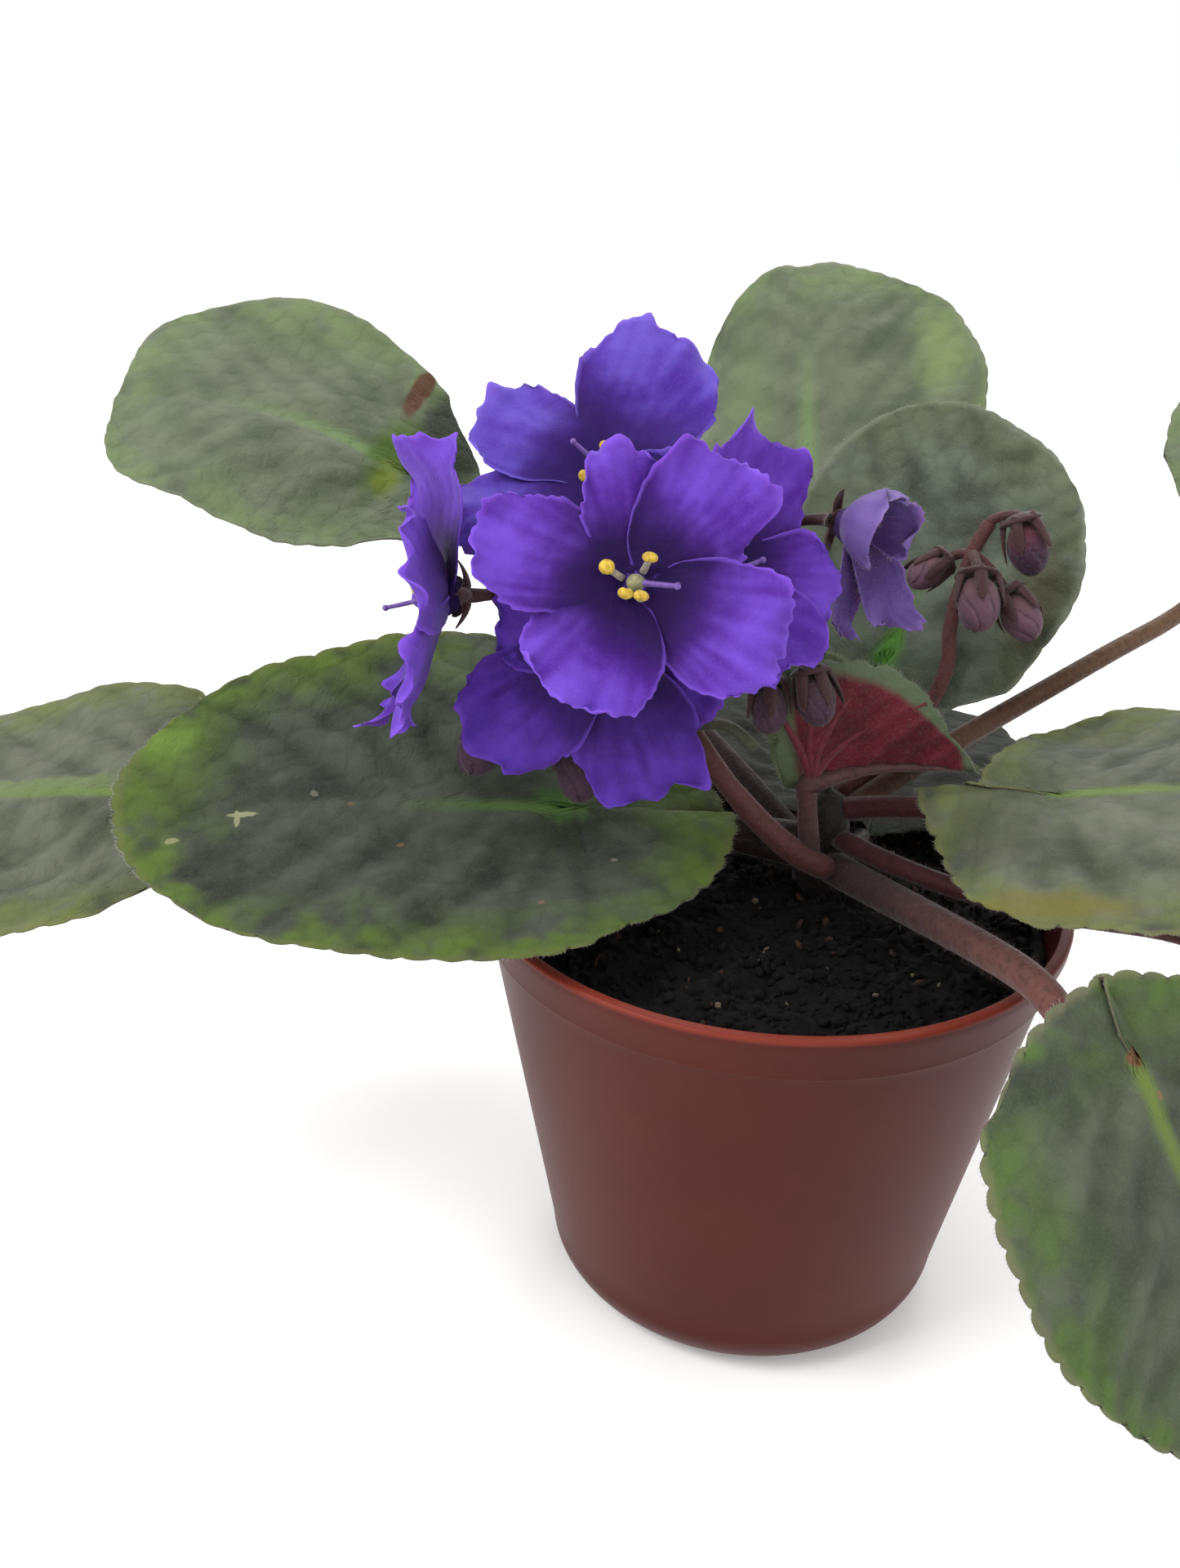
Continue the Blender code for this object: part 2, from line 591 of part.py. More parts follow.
def calyx(placing, spread, radius, length, home):
    """A shallow cup with five pointed sepals that lean out by that angle from +Z of the placing."""
    shape = bmesh.new()
    bmesh.ops.create_cone(shape, cap_ends=True, segments=6, radius1=radius * 0.5, radius2=radius,
                          depth=CUP_DEPTH)
    cup = add_mesh("cup", shape, home)
    cup.data.transform(placing @ Matrix.Translation((0, 0, -CUP_DEPTH / 2)))
    pieces = [cup]
    for index in range(5):
        shape = bmesh.new()
        bmesh.ops.create_cone(shape, cap_ends=True, segments=3, radius1=1.0, radius2=0.0, depth=1.0)
        sepal = add_mesh("sepal", shape, home)
        size = Matrix.Diagonal((SEPAL_THICKNESS / 2, SEPAL_WIDTH / 2, length, 1.0))
        lean = Matrix.Rotation(math.radians(spread), 4, "Y")
        spin = Matrix.Rotation(math.radians(72 * index + 20), 4, "Z")
        out = Matrix.Translation((radius - 0.0008, 0, -0.0012))
        sepal.data.transform(placing @ spin @ out @ lean @ size @ Matrix.Translation((0, 0, 0.5)))
        pieces.append(sepal)
    return pieces


def pedicel(start, end, arriving, bow, home):
    """The thin stalk of one flower or bud, which rises from the fork and bows over to its calyx."""
    span = (end - start).length
    away = (end - start) * 0.15 + UP * span * bow
    path = arc_between(start, away, end, arriving * span * bow * 0.6, 3)
    return tube("pedicel", path, (PEDICEL_RADIUS,) * 4, home, 1)


def bloom_mount(bloom):
    """Where a bloom's calyx sits, a gap behind its throat, and the way that it opens."""
    placing = facing(bloom.centre, bloom.azimuth, bloom.elevation)
    return placing @ Matrix.Translation((0, 0, 0.0004 - THROAT_DEPTH - GAP))


def bud_mount(bud):
    """Where a bud's calyx sits, a gap behind the bud."""
    placing = facing(bud.centre, bud.azimuth, bud.elevation)
    return placing @ Matrix.Translation((0, 0, -bud.size - GAP))


def add_bud(bud, home):
    """The closed petals of one bud."""
    placing = facing(bud.centre, bud.azimuth, bud.elevation)
    return ball(bud.name, placing, (bud.size * 0.74, bud.size * 0.74, bud.size), home, 8, 6)


def heads(start, blooms, buds, home):
    """Pedicels and calyces of those blooms and buds, from where they leave the stalk."""
    pieces = []
    for bloom in blooms:
        seat = bloom_mount(bloom)
        ahead = (seat.to_3x3() @ UP).normalized()
        pieces.append(pedicel(start, seat.translation - ahead * 0.001, ahead, 0.4, home))
        pieces += calyx(seat, 82, 0.0022, BLOOM_SEPAL, home)
    for bud in buds:
        seat = bud_mount(bud)
        ahead = (seat.to_3x3() @ UP).normalized()
        pieces.append(pedicel(start, seat.translation - ahead * 0.001, ahead, 0.22, home))
        pieces += calyx(seat, 22, bud.size * 0.8, BUD_SEPAL, home)
    return pieces


def add_main_stalk(home):
    """The stalk of the full cluster, with the calyx of each bloom and bud, and the cut stub."""
    start = CROWN_CENTRE + direction(272, 0) * (CROWN_RADIUS + GAP + PEDUNCLE_RADIUS) + UP * 0.0862
    path = arc_between(start, direction(184, 15) * 0.010, MAIN_FORK, direction(180, 70) * 0.015, 7)
    radii = [PEDUNCLE_RADIUS - 0.0005 * step / 7 for step in range(8)]
    pieces = [tube("peduncle", path, radii, home, 2)]
    stub = [path[5]] + [Vector(point) for point in STUB]
    pieces.append(tube("stub", stub, (STUB_RADIUS,) * 4, home, 0))
    pieces += heads(path[-1], BLOOMS, MAIN_BUDS, home)
    return fused("flower_stalk_main", pieces, home)


def add_right_stalk(home):
    """The thinner stalk on the right, which arches over and carries buds."""
    start = off_crown(0.0965, 60, 40, PEDICEL_RADIUS * 1.4)
    path = [start] + [Vector(point) for point in RIGHT_STALK]
    radii = [PEDICEL_RADIUS * 1.4] * len(path)
    pieces = [tube("peduncle", path, radii, home, 1)]
    pieces += heads(path[-1], (), RIGHT_BUDS[:1], home)
    pieces += heads(path[-2], (), RIGHT_BUDS[1:], home)
    return fused("flower_stalk_right", pieces, home)


def dress(item, material, smooth):
    """Gives an object its material and its shading."""
    item.data.materials.clear()
    item.data.materials.append(material)
    for face in item.data.polygons:
        face.use_smooth = smooth


def main():
    clear_scene()
    home = new_collection("potted_african_violet")
    cutters = new_collection("cutters")
    dress(add_pot(home, cutters), finish("pot_plastic", (0.105, 0.028, 0.022), 0.45), False)
    dress(add_soil(home, cutters), finish("potting_mix", (0.006, 0.005, 0.005), 0.95), False)
    dress(add_crown(home), finish("crown_stem", (0.09, 0.07, 0.05), 0.7), True)
    for leaf in LEAVES:
        dress(add_leaf(leaf, home), finish(leaf.name, (0.09, 0.13, 0.08), 0.7), True)
    for bloom in BLOOMS:
        dress(add_corolla(bloom, home), finish(bloom.name, (0.14, 0.06, 0.45), 0.6), True)
    for bloom in BLOOMS[:-1]:
        dress(add_pistil(bloom, home), finish(bloom.name + "_pistil", (0.40, 0.42, 0.22), 0.6), True)
        dress(add_stamens(bloom, home), finish(bloom.name + "_stamens", (0.65, 0.43, 0.03), 0.5), True)
    for bud in MAIN_BUDS + RIGHT_BUDS:
        dress(add_bud(bud, home), finish(bud.name, (0.09, 0.05, 0.10), 0.7), True)
    dress(add_main_stalk(home), finish("flower_stalk_main", (0.05, 0.02, 0.02), 0.75), True)
    dress(add_right_stalk(home), finish("flower_stalk_right", (0.05, 0.02, 0.02), 0.75), True)
    bpy.data.collections.remove(cutters)


main()
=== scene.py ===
"""Looks of the potted African violet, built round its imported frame.

Lengths are in metres and angles in degrees. +Z is up, the pot's axis is Z, and the blooms face -Y.
Plan directions run from +X (0) towards +Y (90). The tables and formulas that place leaves, blooms
and buds are those of the solids, and each finer piece takes the place of its solid.
"""
import math
from typing import NamedTuple

import bmesh
import bpy
import numpy as np
from mathutils import Matrix, Vector


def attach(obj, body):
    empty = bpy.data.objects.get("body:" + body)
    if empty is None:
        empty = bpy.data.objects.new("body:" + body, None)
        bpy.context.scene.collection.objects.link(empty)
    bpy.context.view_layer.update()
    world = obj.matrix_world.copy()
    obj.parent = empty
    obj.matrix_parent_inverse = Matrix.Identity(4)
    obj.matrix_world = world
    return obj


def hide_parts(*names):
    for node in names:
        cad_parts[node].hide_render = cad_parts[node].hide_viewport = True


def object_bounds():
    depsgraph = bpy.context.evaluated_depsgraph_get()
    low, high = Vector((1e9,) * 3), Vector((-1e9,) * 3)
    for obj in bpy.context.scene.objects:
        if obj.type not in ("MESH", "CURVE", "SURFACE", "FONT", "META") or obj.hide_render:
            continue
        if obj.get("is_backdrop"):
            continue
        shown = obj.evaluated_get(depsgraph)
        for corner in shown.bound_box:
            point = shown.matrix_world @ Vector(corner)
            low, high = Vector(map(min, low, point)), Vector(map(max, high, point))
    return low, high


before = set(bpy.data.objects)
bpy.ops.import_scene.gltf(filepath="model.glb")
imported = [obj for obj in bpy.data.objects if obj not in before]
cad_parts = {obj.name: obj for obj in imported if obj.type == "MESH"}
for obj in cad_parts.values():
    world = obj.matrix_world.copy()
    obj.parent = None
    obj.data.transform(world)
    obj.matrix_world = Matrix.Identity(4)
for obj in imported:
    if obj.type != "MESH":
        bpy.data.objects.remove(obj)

CAD_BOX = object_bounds()

# The solids' driving dimensions
POT_HEIGHT = 0.082
POT_TOP_RADIUS = 0.0525
POT_BASE_RADIUS = 0.0372
POT_WALL = 0.0013
POT_FLOOR = 0.0016
POT_CORNER = 0.0095
COLLAR_HEIGHT = 0.0085
COLLAR_STEP = 0.0009
DRAIN_HOLES = 6
DRAIN_HOLE_RADIUS = 0.003
DRAIN_RING_RADIUS = 0.021
GAP = 0.0003
SOIL_TOP = 0.0760
SOIL_SWELL = 0.0036
CROWN_CENTRE = np.array((0.0085, 0.005, 0.0))
CROWN_RADIUS = 0.0055
CROWN_FOOT = 0.063
CROWN_TOP = 0.099
BLADE_THICKNESS = 0.0011
NOTCH_WIDTH = 0.0018
MIDRIB_GROOVE = 0.0009
MIDRIB_GROOVE_WIDTH = 0.003
PETAL_ROOT = 0.001
PETAL_PINWHEEL = 0.13
THROAT_RADIUS = 0.0032
THROAT_TOP = 0.0004
THROAT_DEPTH = 0.0022
ANTHER_RADIUS = 0.0013
FILAMENT_RADIUS = 0.00038
STAMEN_RING = 0.0021
ANTHERS = ((-0.0011, -0.0022, 0.0047), (0.0011, -0.0022, 0.0047), (-0.0044, 0.0012, 0.0036),
           (0.0014, 0.0036, 0.0036))  # across, up and out of the bloom, with the style across
OVARY_RADIUS = 0.0013
STYLE_RADIUS = 0.0004
PEDUNCLE_RADIUS = 0.0021
PEDICEL_RADIUS = 0.001
STUB_RADIUS = 0.0009
CUP_DEPTH = 0.0016
BUD_SEPAL = 0.0072
BLOOM_SEPAL = 0.0046
SEPAL_WIDTH = 0.0026
UP = np.array((0.0, 0.0, 1.0))

# What the looks add
TOOTH = 0.0007
TOOTH_PITCH = 0.0053
PEBBLE = 0.0046  # size of the cushions between the fine veins
VEIN_PITCH = 0.165  # space between side veins along the midrib, as a share of the blade's length
VEIN_SLANT = 0.65  # how far a side vein runs forward for each step out
LOBE_VEIN_TURN = math.radians(27)
BLADE = 0.0007  # thickness of the finer blade
LOBE_OVERLAP = 0.0034  # how far each lobe reaches over the stalk
LOBE_LIFT = 0.0013
VALLEY_WIDTH = 0.0034  # half width of the soft valley along each side vein
VALLEY_DEPTH = 0.0011
SHALLOW_VALLEY = 0.0005  # its depth on far and young blades
CUSHION_HEIGHT = 0.0002
FOLD_HEIGHT = 0.0015
FOLD_SIZE = 0.018
SMALL_FOLD_HEIGHT = 0.0004
SMALL_FOLD_SIZE = 0.006
# Shares of the blade's length, with the midrib's radius under it there
MIDRIB = ((0.10, 0.0014), (0.2, 0.0012), (0.32, 0.0010), (0.5, 0.0008), (0.7, 0.0006), (0.88, 0.0004))
# Ends of the thick veins under the young blade, along and across it
YOUNG_VEINS = ((-0.0035, -0.015), (0.003, -0.018), (0.010, -0.017), (0.018, -0.012))
NECK = 0.72  # radius of a stalk where it meets the blade, as a share of its radius at the crown
RAISED_LOBE = 0.0045  # how far the near lobe of leaf_right stands up beside its stalk
EDGE_UNEVEN = 0.0006
BASE_BLEND = 0.15  # share of a lobe's reach over which it closes over the stalk
FAR = ("painted_sheen", "deep")  # looks of the leaves that are far from the camera
PETAL_THICKNESS = 0.00042
PETAL_SWELL = 0.0013  # height of the slow swells that the petals of a bloom share
SWELL_SIZE = 0.008
STYLE_REACH = 0.0065
BUD_WIDTH = 0.74  # as a share of the bud's length
WAVES = 7  # how many waves a random field is the sum of
STALK_STEPS = 30
HAIR_RADIUS = 0.000014
BLADE_HAIR = 0.0006
SHORT_HAIR = 0.0008
LONG_HAIR = 0.0012
BLADE_HAIRS = 8e5  # for each square metre of a near blade
FAR_BLADE_HAIRS = 2.5e5
RIM_HAIRS = 5  # for each point of the margin
STALK_HAIRS = 26000  # for each metre
STEM_HAIRS = 24000
PEDICEL_HAIRS = 20000
LIGHT = 1.5  # how brightly the studio lights a white upper face
# How many crumbs of a kind, their least and most size, their material and how thick they are
CRUMBS = ((1700, 0.0003, 0.0009, 0, 1.0), (900, 0.0008, 0.0017, 0, 0.8), (70, 0.0007, 0.0018, 1, 0.5),
          (26, 0.0006, 0.0014, 2, 0.8))
LIP_ROUND = 0.0006
LIGHT_SIZE = 0.5
LIGHT_AIM = Vector((0, 0, 0.1))
# Name, place and energy of each light
LIGHTS = (("key", (-0.55, -0.35, 0.75), 6.2), ("fill", (0.7, -0.35, 0.5), 1.9),
          ("back", (0.1, 0.7, 0.7), 2.6))
CAMERA_PLACE = (0, -0.248, 0.211)
CAMERA_AXES = ((0.9887, 0.1467, 0.0317), (-0.0895, 0.4066, 0.9092), (0.1205, -0.9017, 0.4152))
CAMERA_LENS = 35.625


class Leaf(NamedTuple):
    """One leaf: where its stalk leaves the crown, and where and how its blade is held."""

    name: str
    level: float  # height at which the stalk leaves the crown
    leaving: float  # plan direction in which it leaves
    rise: float  # slope at which it leaves
    base: tuple  # where the stalk meets the blade
    heading: float  # plan direction of the midrib
    pitch: float  # slope of the midrib at the base
    droop: float  # how far the midrib turns down on its way to the tip
    roll: float  # turn about the midrib, which lifts its left side
    length: float  # base to tip
    width: float
    lobe: float  # reach of the two lobes behind the base, as a share of the length
    curl_left: float  # how far the left half has turned up at the margin
    curl_right: float
    wave: float  # height of the slow waves along the margin
    phase: float  # where those waves start
    stalk: float  # radius of the stalk at the crown
    out_reach: float = 0.4  # share of the way over which the stalk keeps the way that it leaves
    in_reach: float = 0.4  # share over which it already runs the blade's way
    fold: float = 0  # how steeply both halves rise from the midrib
    taper: float = 0.12  # how much narrower the blade is towards the tip
    left_lobe: float = 1  # how far back the left lobe reaches, as a share of the right one's way
    blunt: float = 0  # how square the tip is
    cells: int = 77  # how many points the blade's grid has each way
    look: str = "dark"


LEAVES = (
    Leaf("leaf_front_left", 0.0888, 197, 10, (-0.0363, -0.0095, 0.0969), 199, 6, 10, -27,
         0.075, 0.074, 0.40, 24, 8, 0.0012, 40, 0.0025, cells=105),
    Leaf("leaf_left", 0.0840, 178, 10, (-0.1089, -0.0124, 0.0941), 184, -2, 14, -16,
         0.069, 0.069, 0.31, -6, -14, 0.0012, 90, 0.0024, look="grey"),
    Leaf("leaf_back_left", 0.0850, 142, 28, (-0.0791, 0.048, 0.1393), 185, 32, 37, -26,
         0.058, 0.0645, 0.34, 1, 3, 0.0012, 10, 0.0022, taper=-0.15, blunt=0.47, look="painted_sheen"),
    Leaf("leaf_back", 0.0840, 100, 38, (0.0006, 0.0745, 0.1341), 97, 44, 7, -11,
         0.062, 0.075, 0.28, -80, 10, 0.001, 0, 0.0022, look="painted_sheen"),
    Leaf("leaf_back_inner", 0.0885, 66, 48, (0.0172, 0.0264, 0.1157), 60, 49, 14, 25,
         0.056, 0.055, 0.22, 8, 40, 0.001, 0, 0.0022, look="deep"),
    Leaf("leaf_back_right", 0.0925, 28, 30, (0.086, 0.049, 0.1385), 38, 30, 8, 27,
         0.054, 0.064, 0.22, -8, -8, 0.0012, 0, 0.0021, look="painted_sheen"),
    # A low leaf behind the crown, which the shade look darkens all over as painted shade.
    Leaf("leaf_back_low", 0.0824, 45, 5, (0.016, 0.028, 0.0863), 95, 9, 14, 0,
         0.058, 0.070, 0.18, -6, -6, 0.0012, 0, 0.0018, cells=41, look="shade"),
    Leaf("leaf_right", 0.0945, -14, 18, (0.0442, -0.0103, 0.1076), -14, 20, 22, 6,
         0.055, 0.076, 0.38, -12, -12, 0.0012, 0, 0.0021, left_lobe=0.64, cells=97, look="grey"),
    Leaf("leaf_right_low", 0.0897, -46, 0, (0.080, -0.038, 0.1026), -20, 8, 20, 8,
         0.050, 0.054, 0.26, -8, -8, 0.0012, 0, 0.0019, 0.55, 0.2),
    Leaf("leaf_front_right", 0.0840, -56, 7, (0.0510, -0.0645, 0.0935), -48, -46, 16, 1,
         0.052, 0.065, 0.23, -5, -7, 0.0012, 0, 0.0031, 0.4, 0.12, cells=97, look="front"),
    Leaf("leaf_young", 0.0912, 250, 78, (0.0048, -0.0006, 0.1038), 13, 17, 34, -24,
         0.031, 0.0334, 0.18, 62, 36, 0.0006, 0, 0.0020, 0.4, 0.05, fold=42, taper=0.95, look="young"),
)


class Petal(NamedTuple):
    """One lobe of a corolla, as it is seen from in front."""

    angle: float  # which way it points
    length: float
    width: float
    lift: float  # how far it leans forward, out of the bloom's plane
    twist: float = 0  # slope across it, which turns it about its own length


class Bloom(NamedTuple):
    """One flower: its throat, the way that it faces and its petals."""

    name: str
    centre: tuple
    azimuth: float
    elevation: float
    petals: tuple
    ruffle: float
    style: float  # which way the style leans
    style_rise: float = 25  # how far the style stands out of the bloom's plane


BLOOMS = (
    Bloom("bloom_front", (-0.0230, -0.0342, 0.1446), -83, 27, (
        Petal(165, 0.0250, 0.020, 6), Petal(92, 0.0200, 0.019, 6), Petal(50, 0.0240, 0.022, 4),
        Petal(-26, 0.0238, 0.023, 8), Petal(-118, 0.0215, 0.025, 12)), 0.0013, -8),
    Bloom("bloom_back", (-0.0326, 0.0, 0.1520), -83, 44, (
        Petal(66, 0.0288, 0.029, 2), Petal(150, 0.0250, 0.022, 2), Petal(207, 0.0260, 0.024, 2),
        Petal(-8, 0.0140, 0.014, 0), Petal(-80, 0.0140, 0.014, 0)), 0.0013, 150),
    Bloom("bloom_low", (-0.0283, -0.0235, 0.1315), -88, 13, (
        Petal(222, 0.0260, 0.024, 2), Petal(-68, 0.0265, 0.025, 0), Petal(-36, 0.0194, 0.022, -3),
        Petal(112, 0.0070, 0.008, -10), Petal(168, 0.0184, 0.018, -2)), 0.0013, 200),
    Bloom("bloom_right", (-0.0124, -0.0098, 0.1395), -65, 19, (
        Petal(63, 0.0250, 0.023, 2), Petal(-14, 0.0203, 0.022, 2), Petal(-56, 0.0205, 0.021, 9),
        Petal(138, 0.0120, 0.012, -6), Petal(208, 0.0095, 0.010, -10)), 0.0013, 20),
    Bloom("bloom_left", (-0.0531, -0.0229, 0.1372), -162, 2, (
        Petal(104, 0.0248, 0.022, 9, 0.25), Petal(36, 0.0220, 0.023, 22), Petal(-40, 0.0235, 0.022, 22),
        Petal(-112, 0.0266, 0.021, 20, 0.2), Petal(178, 0.0180, 0.018, 12)), 0.0016, -120, 62),
    Bloom("bloom_opening", (0.0074, -0.0010, 0.1469), -35, 0, (
        Petal(74, 0.0140, 0.015, 56), Petal(12, 0.0145, 0.014, 58), Petal(-60, 0.0212, 0.011, 18),
        Petal(-84, 0.0198, 0.007, 4), Petal(150, 0.0140, 0.015, 60)), 0.0006, -40),
)


class Bud(NamedTuple):
    """One closed bud: its middle, the way that its tip points, and its half length."""

    name: str
    centre: tuple
    azimuth: float
    elevation: float
    size: float


MAIN_BUDS = (
    Bud("bud_main_1", (-0.0485, -0.0195, 0.1108), -140, -60, 0.0052),
    Bud("bud_main_2", (-0.0321, -0.0212, 0.1088), -80, -60, 0.0052),
    Bud("bud_main_3", (-0.0028, -0.0100, 0.1178), -80, -60, 0.0042),
    Bud("bud_main_4", (0.0047, -0.0097, 0.1199), -50, -65, 0.0044),
)
RIGHT_BUDS = (
    Bud("bud_right_1", (0.0392, 0.0235, 0.1385), -40, -62, 0.0048),
    Bud("bud_right_2", (0.0310, 0.0145, 0.1306), -85, -50, 0.0050),
    Bud("bud_right_3", (0.0390, 0.0180, 0.1278), -40, -45, 0.0046),
    Bud("bud_right_4", (0.0225, 0.0250, 0.1325), -150, -30, 0.0038),
)
MAIN_FORK = np.array((-0.0229, -0.0023, 0.1230))
RIGHT_STALK = ((0.0205, 0.0160, 0.1010), (0.0273, 0.0190, 0.1151), (0.0277, 0.0222, 0.1248),
               (0.0300, 0.0253, 0.1361), (0.0325, 0.0266, 0.1419))
STUB = ((-0.0122, -0.0055, 0.1125), (-0.0085, -0.0076, 0.1128), (-0.0044, -0.0080, 0.1097))


def placed(name, data, place=None):
    """A new object of the scene that shows those data."""
    thing = bpy.data.objects.new(name, data)
    bpy.context.scene.collection.objects.link(thing)
    if place is not None:
        thing.matrix_world = place
    return thing


class Shape:
    """Points and triangles that build up to one mesh, with values on each point."""

    def __init__(self, *names):
        self.names = names
        self.points, self.faces, self.kinds, self.values = [], [], [], []
        self.count = 0

    def add(self, points, faces, kind=0, **values):
        """Adds a part; kind is the number of its material."""
        points = np.asarray(points, float).reshape(-1, 3)
        faces = np.asarray(faces, int).reshape(-1, 3)
        self.points.append(points)
        self.faces.append(faces + self.count)
        self.kinds.append(np.full(len(faces), kind))
        columns = [np.broadcast_to(np.ravel(values.get(name, 0.0)), len(points)) for name in self.names]
        self.values.append(np.stack(columns, 1) if columns else np.zeros((len(points), 0)))
        self.count += len(points)

    def build(self, node, slot, materials):
        """Makes the piece that stands for that node and rides on the one body."""
        points, faces = np.concatenate(self.points), np.concatenate(self.faces)
        values = np.concatenate(self.values)
        mesh = bpy.data.meshes.new(node + "_fine")
        mesh.vertices.add(len(points))
        mesh.vertices.foreach_set("co", points.astype(np.float32).ravel())
        mesh.loops.add(faces.size)
        mesh.loops.foreach_set("vertex_index", faces.astype(np.int32).ravel())
        mesh.polygons.add(len(faces))
        mesh.polygons.foreach_set("loop_start", np.arange(0, faces.size, 3, dtype=np.int32))
        mesh.polygons.foreach_set("material_index", np.concatenate(self.kinds).astype(np.int32))
        mesh.polygons.foreach_set("use_smooth", np.full(len(faces), True))
        mesh.update(calc_edges=True)
        for index, key in enumerate(self.names):
            layer = mesh.attributes.new(key, "FLOAT", "POINT")
            layer.data.foreach_set("value", values[:, index].astype(np.float32))
        for material in materials:
            mesh.materials.append(material)
        piece = placed(mesh.name, mesh)
        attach(piece, "root")
        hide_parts(node)
        return piece


def unit(azimuth, elevation):
    """The unit vector that points that way in plan and that far above the horizon."""
    turn, lift = np.radians(azimuth), np.radians(elevation)
    return np.stack([np.cos(turn) * np.cos(lift), np.sin(turn) * np.cos(lift),
                     np.sin(lift) + 0 * turn], -1)


def normalised(vectors):
    return vectors / np.maximum(np.linalg.norm(vectors, axis=-1, keepdims=True), 1e-12)


def facing(part):
    """The placing of a bloom or bud, with +Z the way that it faces, +X level and +Y nearly up."""
    ahead = unit(part.azimuth, part.elevation)
    level = normalised(np.cross(UP, ahead))
    placing = np.eye(4)
    placing[:3, :3] = np.stack([level, np.cross(ahead, level), ahead], 1)
    placing[:3, 3] = part.centre
    return placing


def shifted(x, y, z):
    placing = np.eye(4)
    placing[:3, 3] = x, y, z
    return placing


def spun(degrees, axis):
    placing = np.eye(4)
    placing[:3, :3] = np.array(Matrix.Rotation(math.radians(degrees), 3, axis))
    return placing


def moved(placing, points):
    """The points after that placing."""
    return np.asarray(points) @ placing[:3, :3].T + placing[:3, 3]


def bell(value, width):
    """1 at 0, fading to both sides over about that width."""
    return np.exp(-((value / width) ** 2))


def disc(a, b):
    """A point of the square from -1 to 1, moved to where it lies in a round disc."""
    return a * np.sqrt(1 - b * b / 2), b * np.sqrt(1 - a * a / 2)


def round_turn(sides):
    """The angles of that many points round a ring."""
    return np.linspace(0, 2 * math.pi, sides, endpoint=False)[None, :]


def ripple(points, size, seed):
    """A smooth random field of about -1 to 1, with lumps of about that size."""
    draw = np.random.default_rng(seed)
    points = np.asarray(points, float)
    total = np.zeros(points.shape[:-1])
    for _ in range(WAVES):
        way = normalised(draw.normal(size=points.shape[-1]))
        reach = 2 * math.pi / (size * draw.uniform(1.4, 3.2))
        total += np.sin(points @ way * reach + draw.uniform(0, 2 * math.pi))
    return total / math.sqrt(WAVES) * 1.1


def grid(rows, columns):
    """Values from -1 to 1 both ways over a grid of that many points."""
    return np.meshgrid(np.linspace(-1, 1, rows), np.linspace(-1, 1, columns), indexing="ij")


def grid_faces(rows, columns, wrap=False):
    """Triangles over a grid of points, whose columns may close to a ring."""
    r = np.arange(rows - 1)[:, None]
    c = np.arange(columns if wrap else columns - 1)[None, :]
    here, along = r * columns + c, (r + 1) * columns + c
    across, both = r * columns + (c + 1) % columns, (r + 1) * columns + (c + 1) % columns
    one = np.stack([here, along, both], -1).reshape(-1, 3)
    two = np.stack([here, both, across], -1).reshape(-1, 3)
    return np.concatenate([one, two])


def closed_faces(rows, sides):
    """Triangles over rings of points, and over a last pair of points that close both ends."""
    here = np.arange(sides)
    after = (here + 1) % sides
    low = (rows - 1) * sides
    first = np.stack([np.full(sides, rows * sides), here, after], 1)
    last = np.stack([np.full(sides, rows * sides + 1), low + after, low + here], 1)
    return np.concatenate([grid_faces(rows, sides, wrap=True), first, last])


def border(rows, columns):
    """Numbers of the points round a grid, and of the point next inside each of them."""
    ring = [(0, c) for c in range(columns)] + [(r, columns - 1) for r in range(1, rows)]
    ring += [(rows - 1, c) for c in range(columns - 2, -1, -1)] + [(r, 0) for r in range(rows - 2, 0, -1)]
    ring = np.array(ring)
    inner = np.clip(ring, 1, [rows - 2, columns - 2])
    return ring @ (columns, 1), inner @ (columns, 1)


def sheet(shape, upper, out, thickness, **values):
    """Adds a thin closed sheet under a grid of points, with a rounded margin."""
    rows, columns = upper.shape[:2]
    count = rows * columns
    top = upper.reshape(-1, 3)
    deep = np.broadcast_to(thickness, (rows, columns)).reshape(-1, 1)
    bottom = top - out.reshape(-1, 3) * deep
    ring, inner = border(rows, columns)
    outward = normalised(top[ring] - top[inner])
    rim = (top[ring] + bottom[ring]) / 2 + outward * deep[ring] * 0.5
    faces = grid_faces(rows, columns)
    high, middle, low = ring, 2 * count + np.arange(len(ring)), ring + count
    next_high, next_middle, next_low = (np.roll(numbers, -1) for numbers in (high, middle, low))
    edge = ((high, next_high, next_middle), (high, next_middle, middle),
            (middle, next_middle, next_low), (middle, next_low, low))
    edge = np.concatenate([np.stack(three, 1) for three in edge])
    given = {}
    for key, value in values.items():
        each = np.broadcast_to(value, (rows, columns)).ravel()
        given[key] = np.concatenate([each, each, each[ring]])
    if "under" in shape.names:
        given["under"] = np.concatenate([np.zeros(count), np.ones(count), np.full(len(ring), 0.4)])
    shape.add(np.concatenate([top, bottom, rim]), np.concatenate([faces, faces[:, ::-1] + count, edge]),
              **given)
    return rim, outward


def facing_out(points):
    """The ways out of a grid of points."""
    return normalised(np.cross(np.gradient(points, axis=0), np.gradient(points, axis=1)))


def ring_frames(path):
    """Directions ahead, side and third at each point of a path, without twist."""
    ahead = normalised(np.gradient(path, axis=0))
    side = np.zeros_like(path)
    first = np.cross(ahead[0], UP if abs(ahead[0][2]) < 0.9 else np.array((1.0, 0, 0)))
    side[0] = normalised(first)
    for index in range(1, len(path)):
        kept = side[index - 1] - ahead[index] * (side[index - 1] @ ahead[index])
        side[index] = normalised(kept)
    return ahead, side, np.cross(ahead, side)


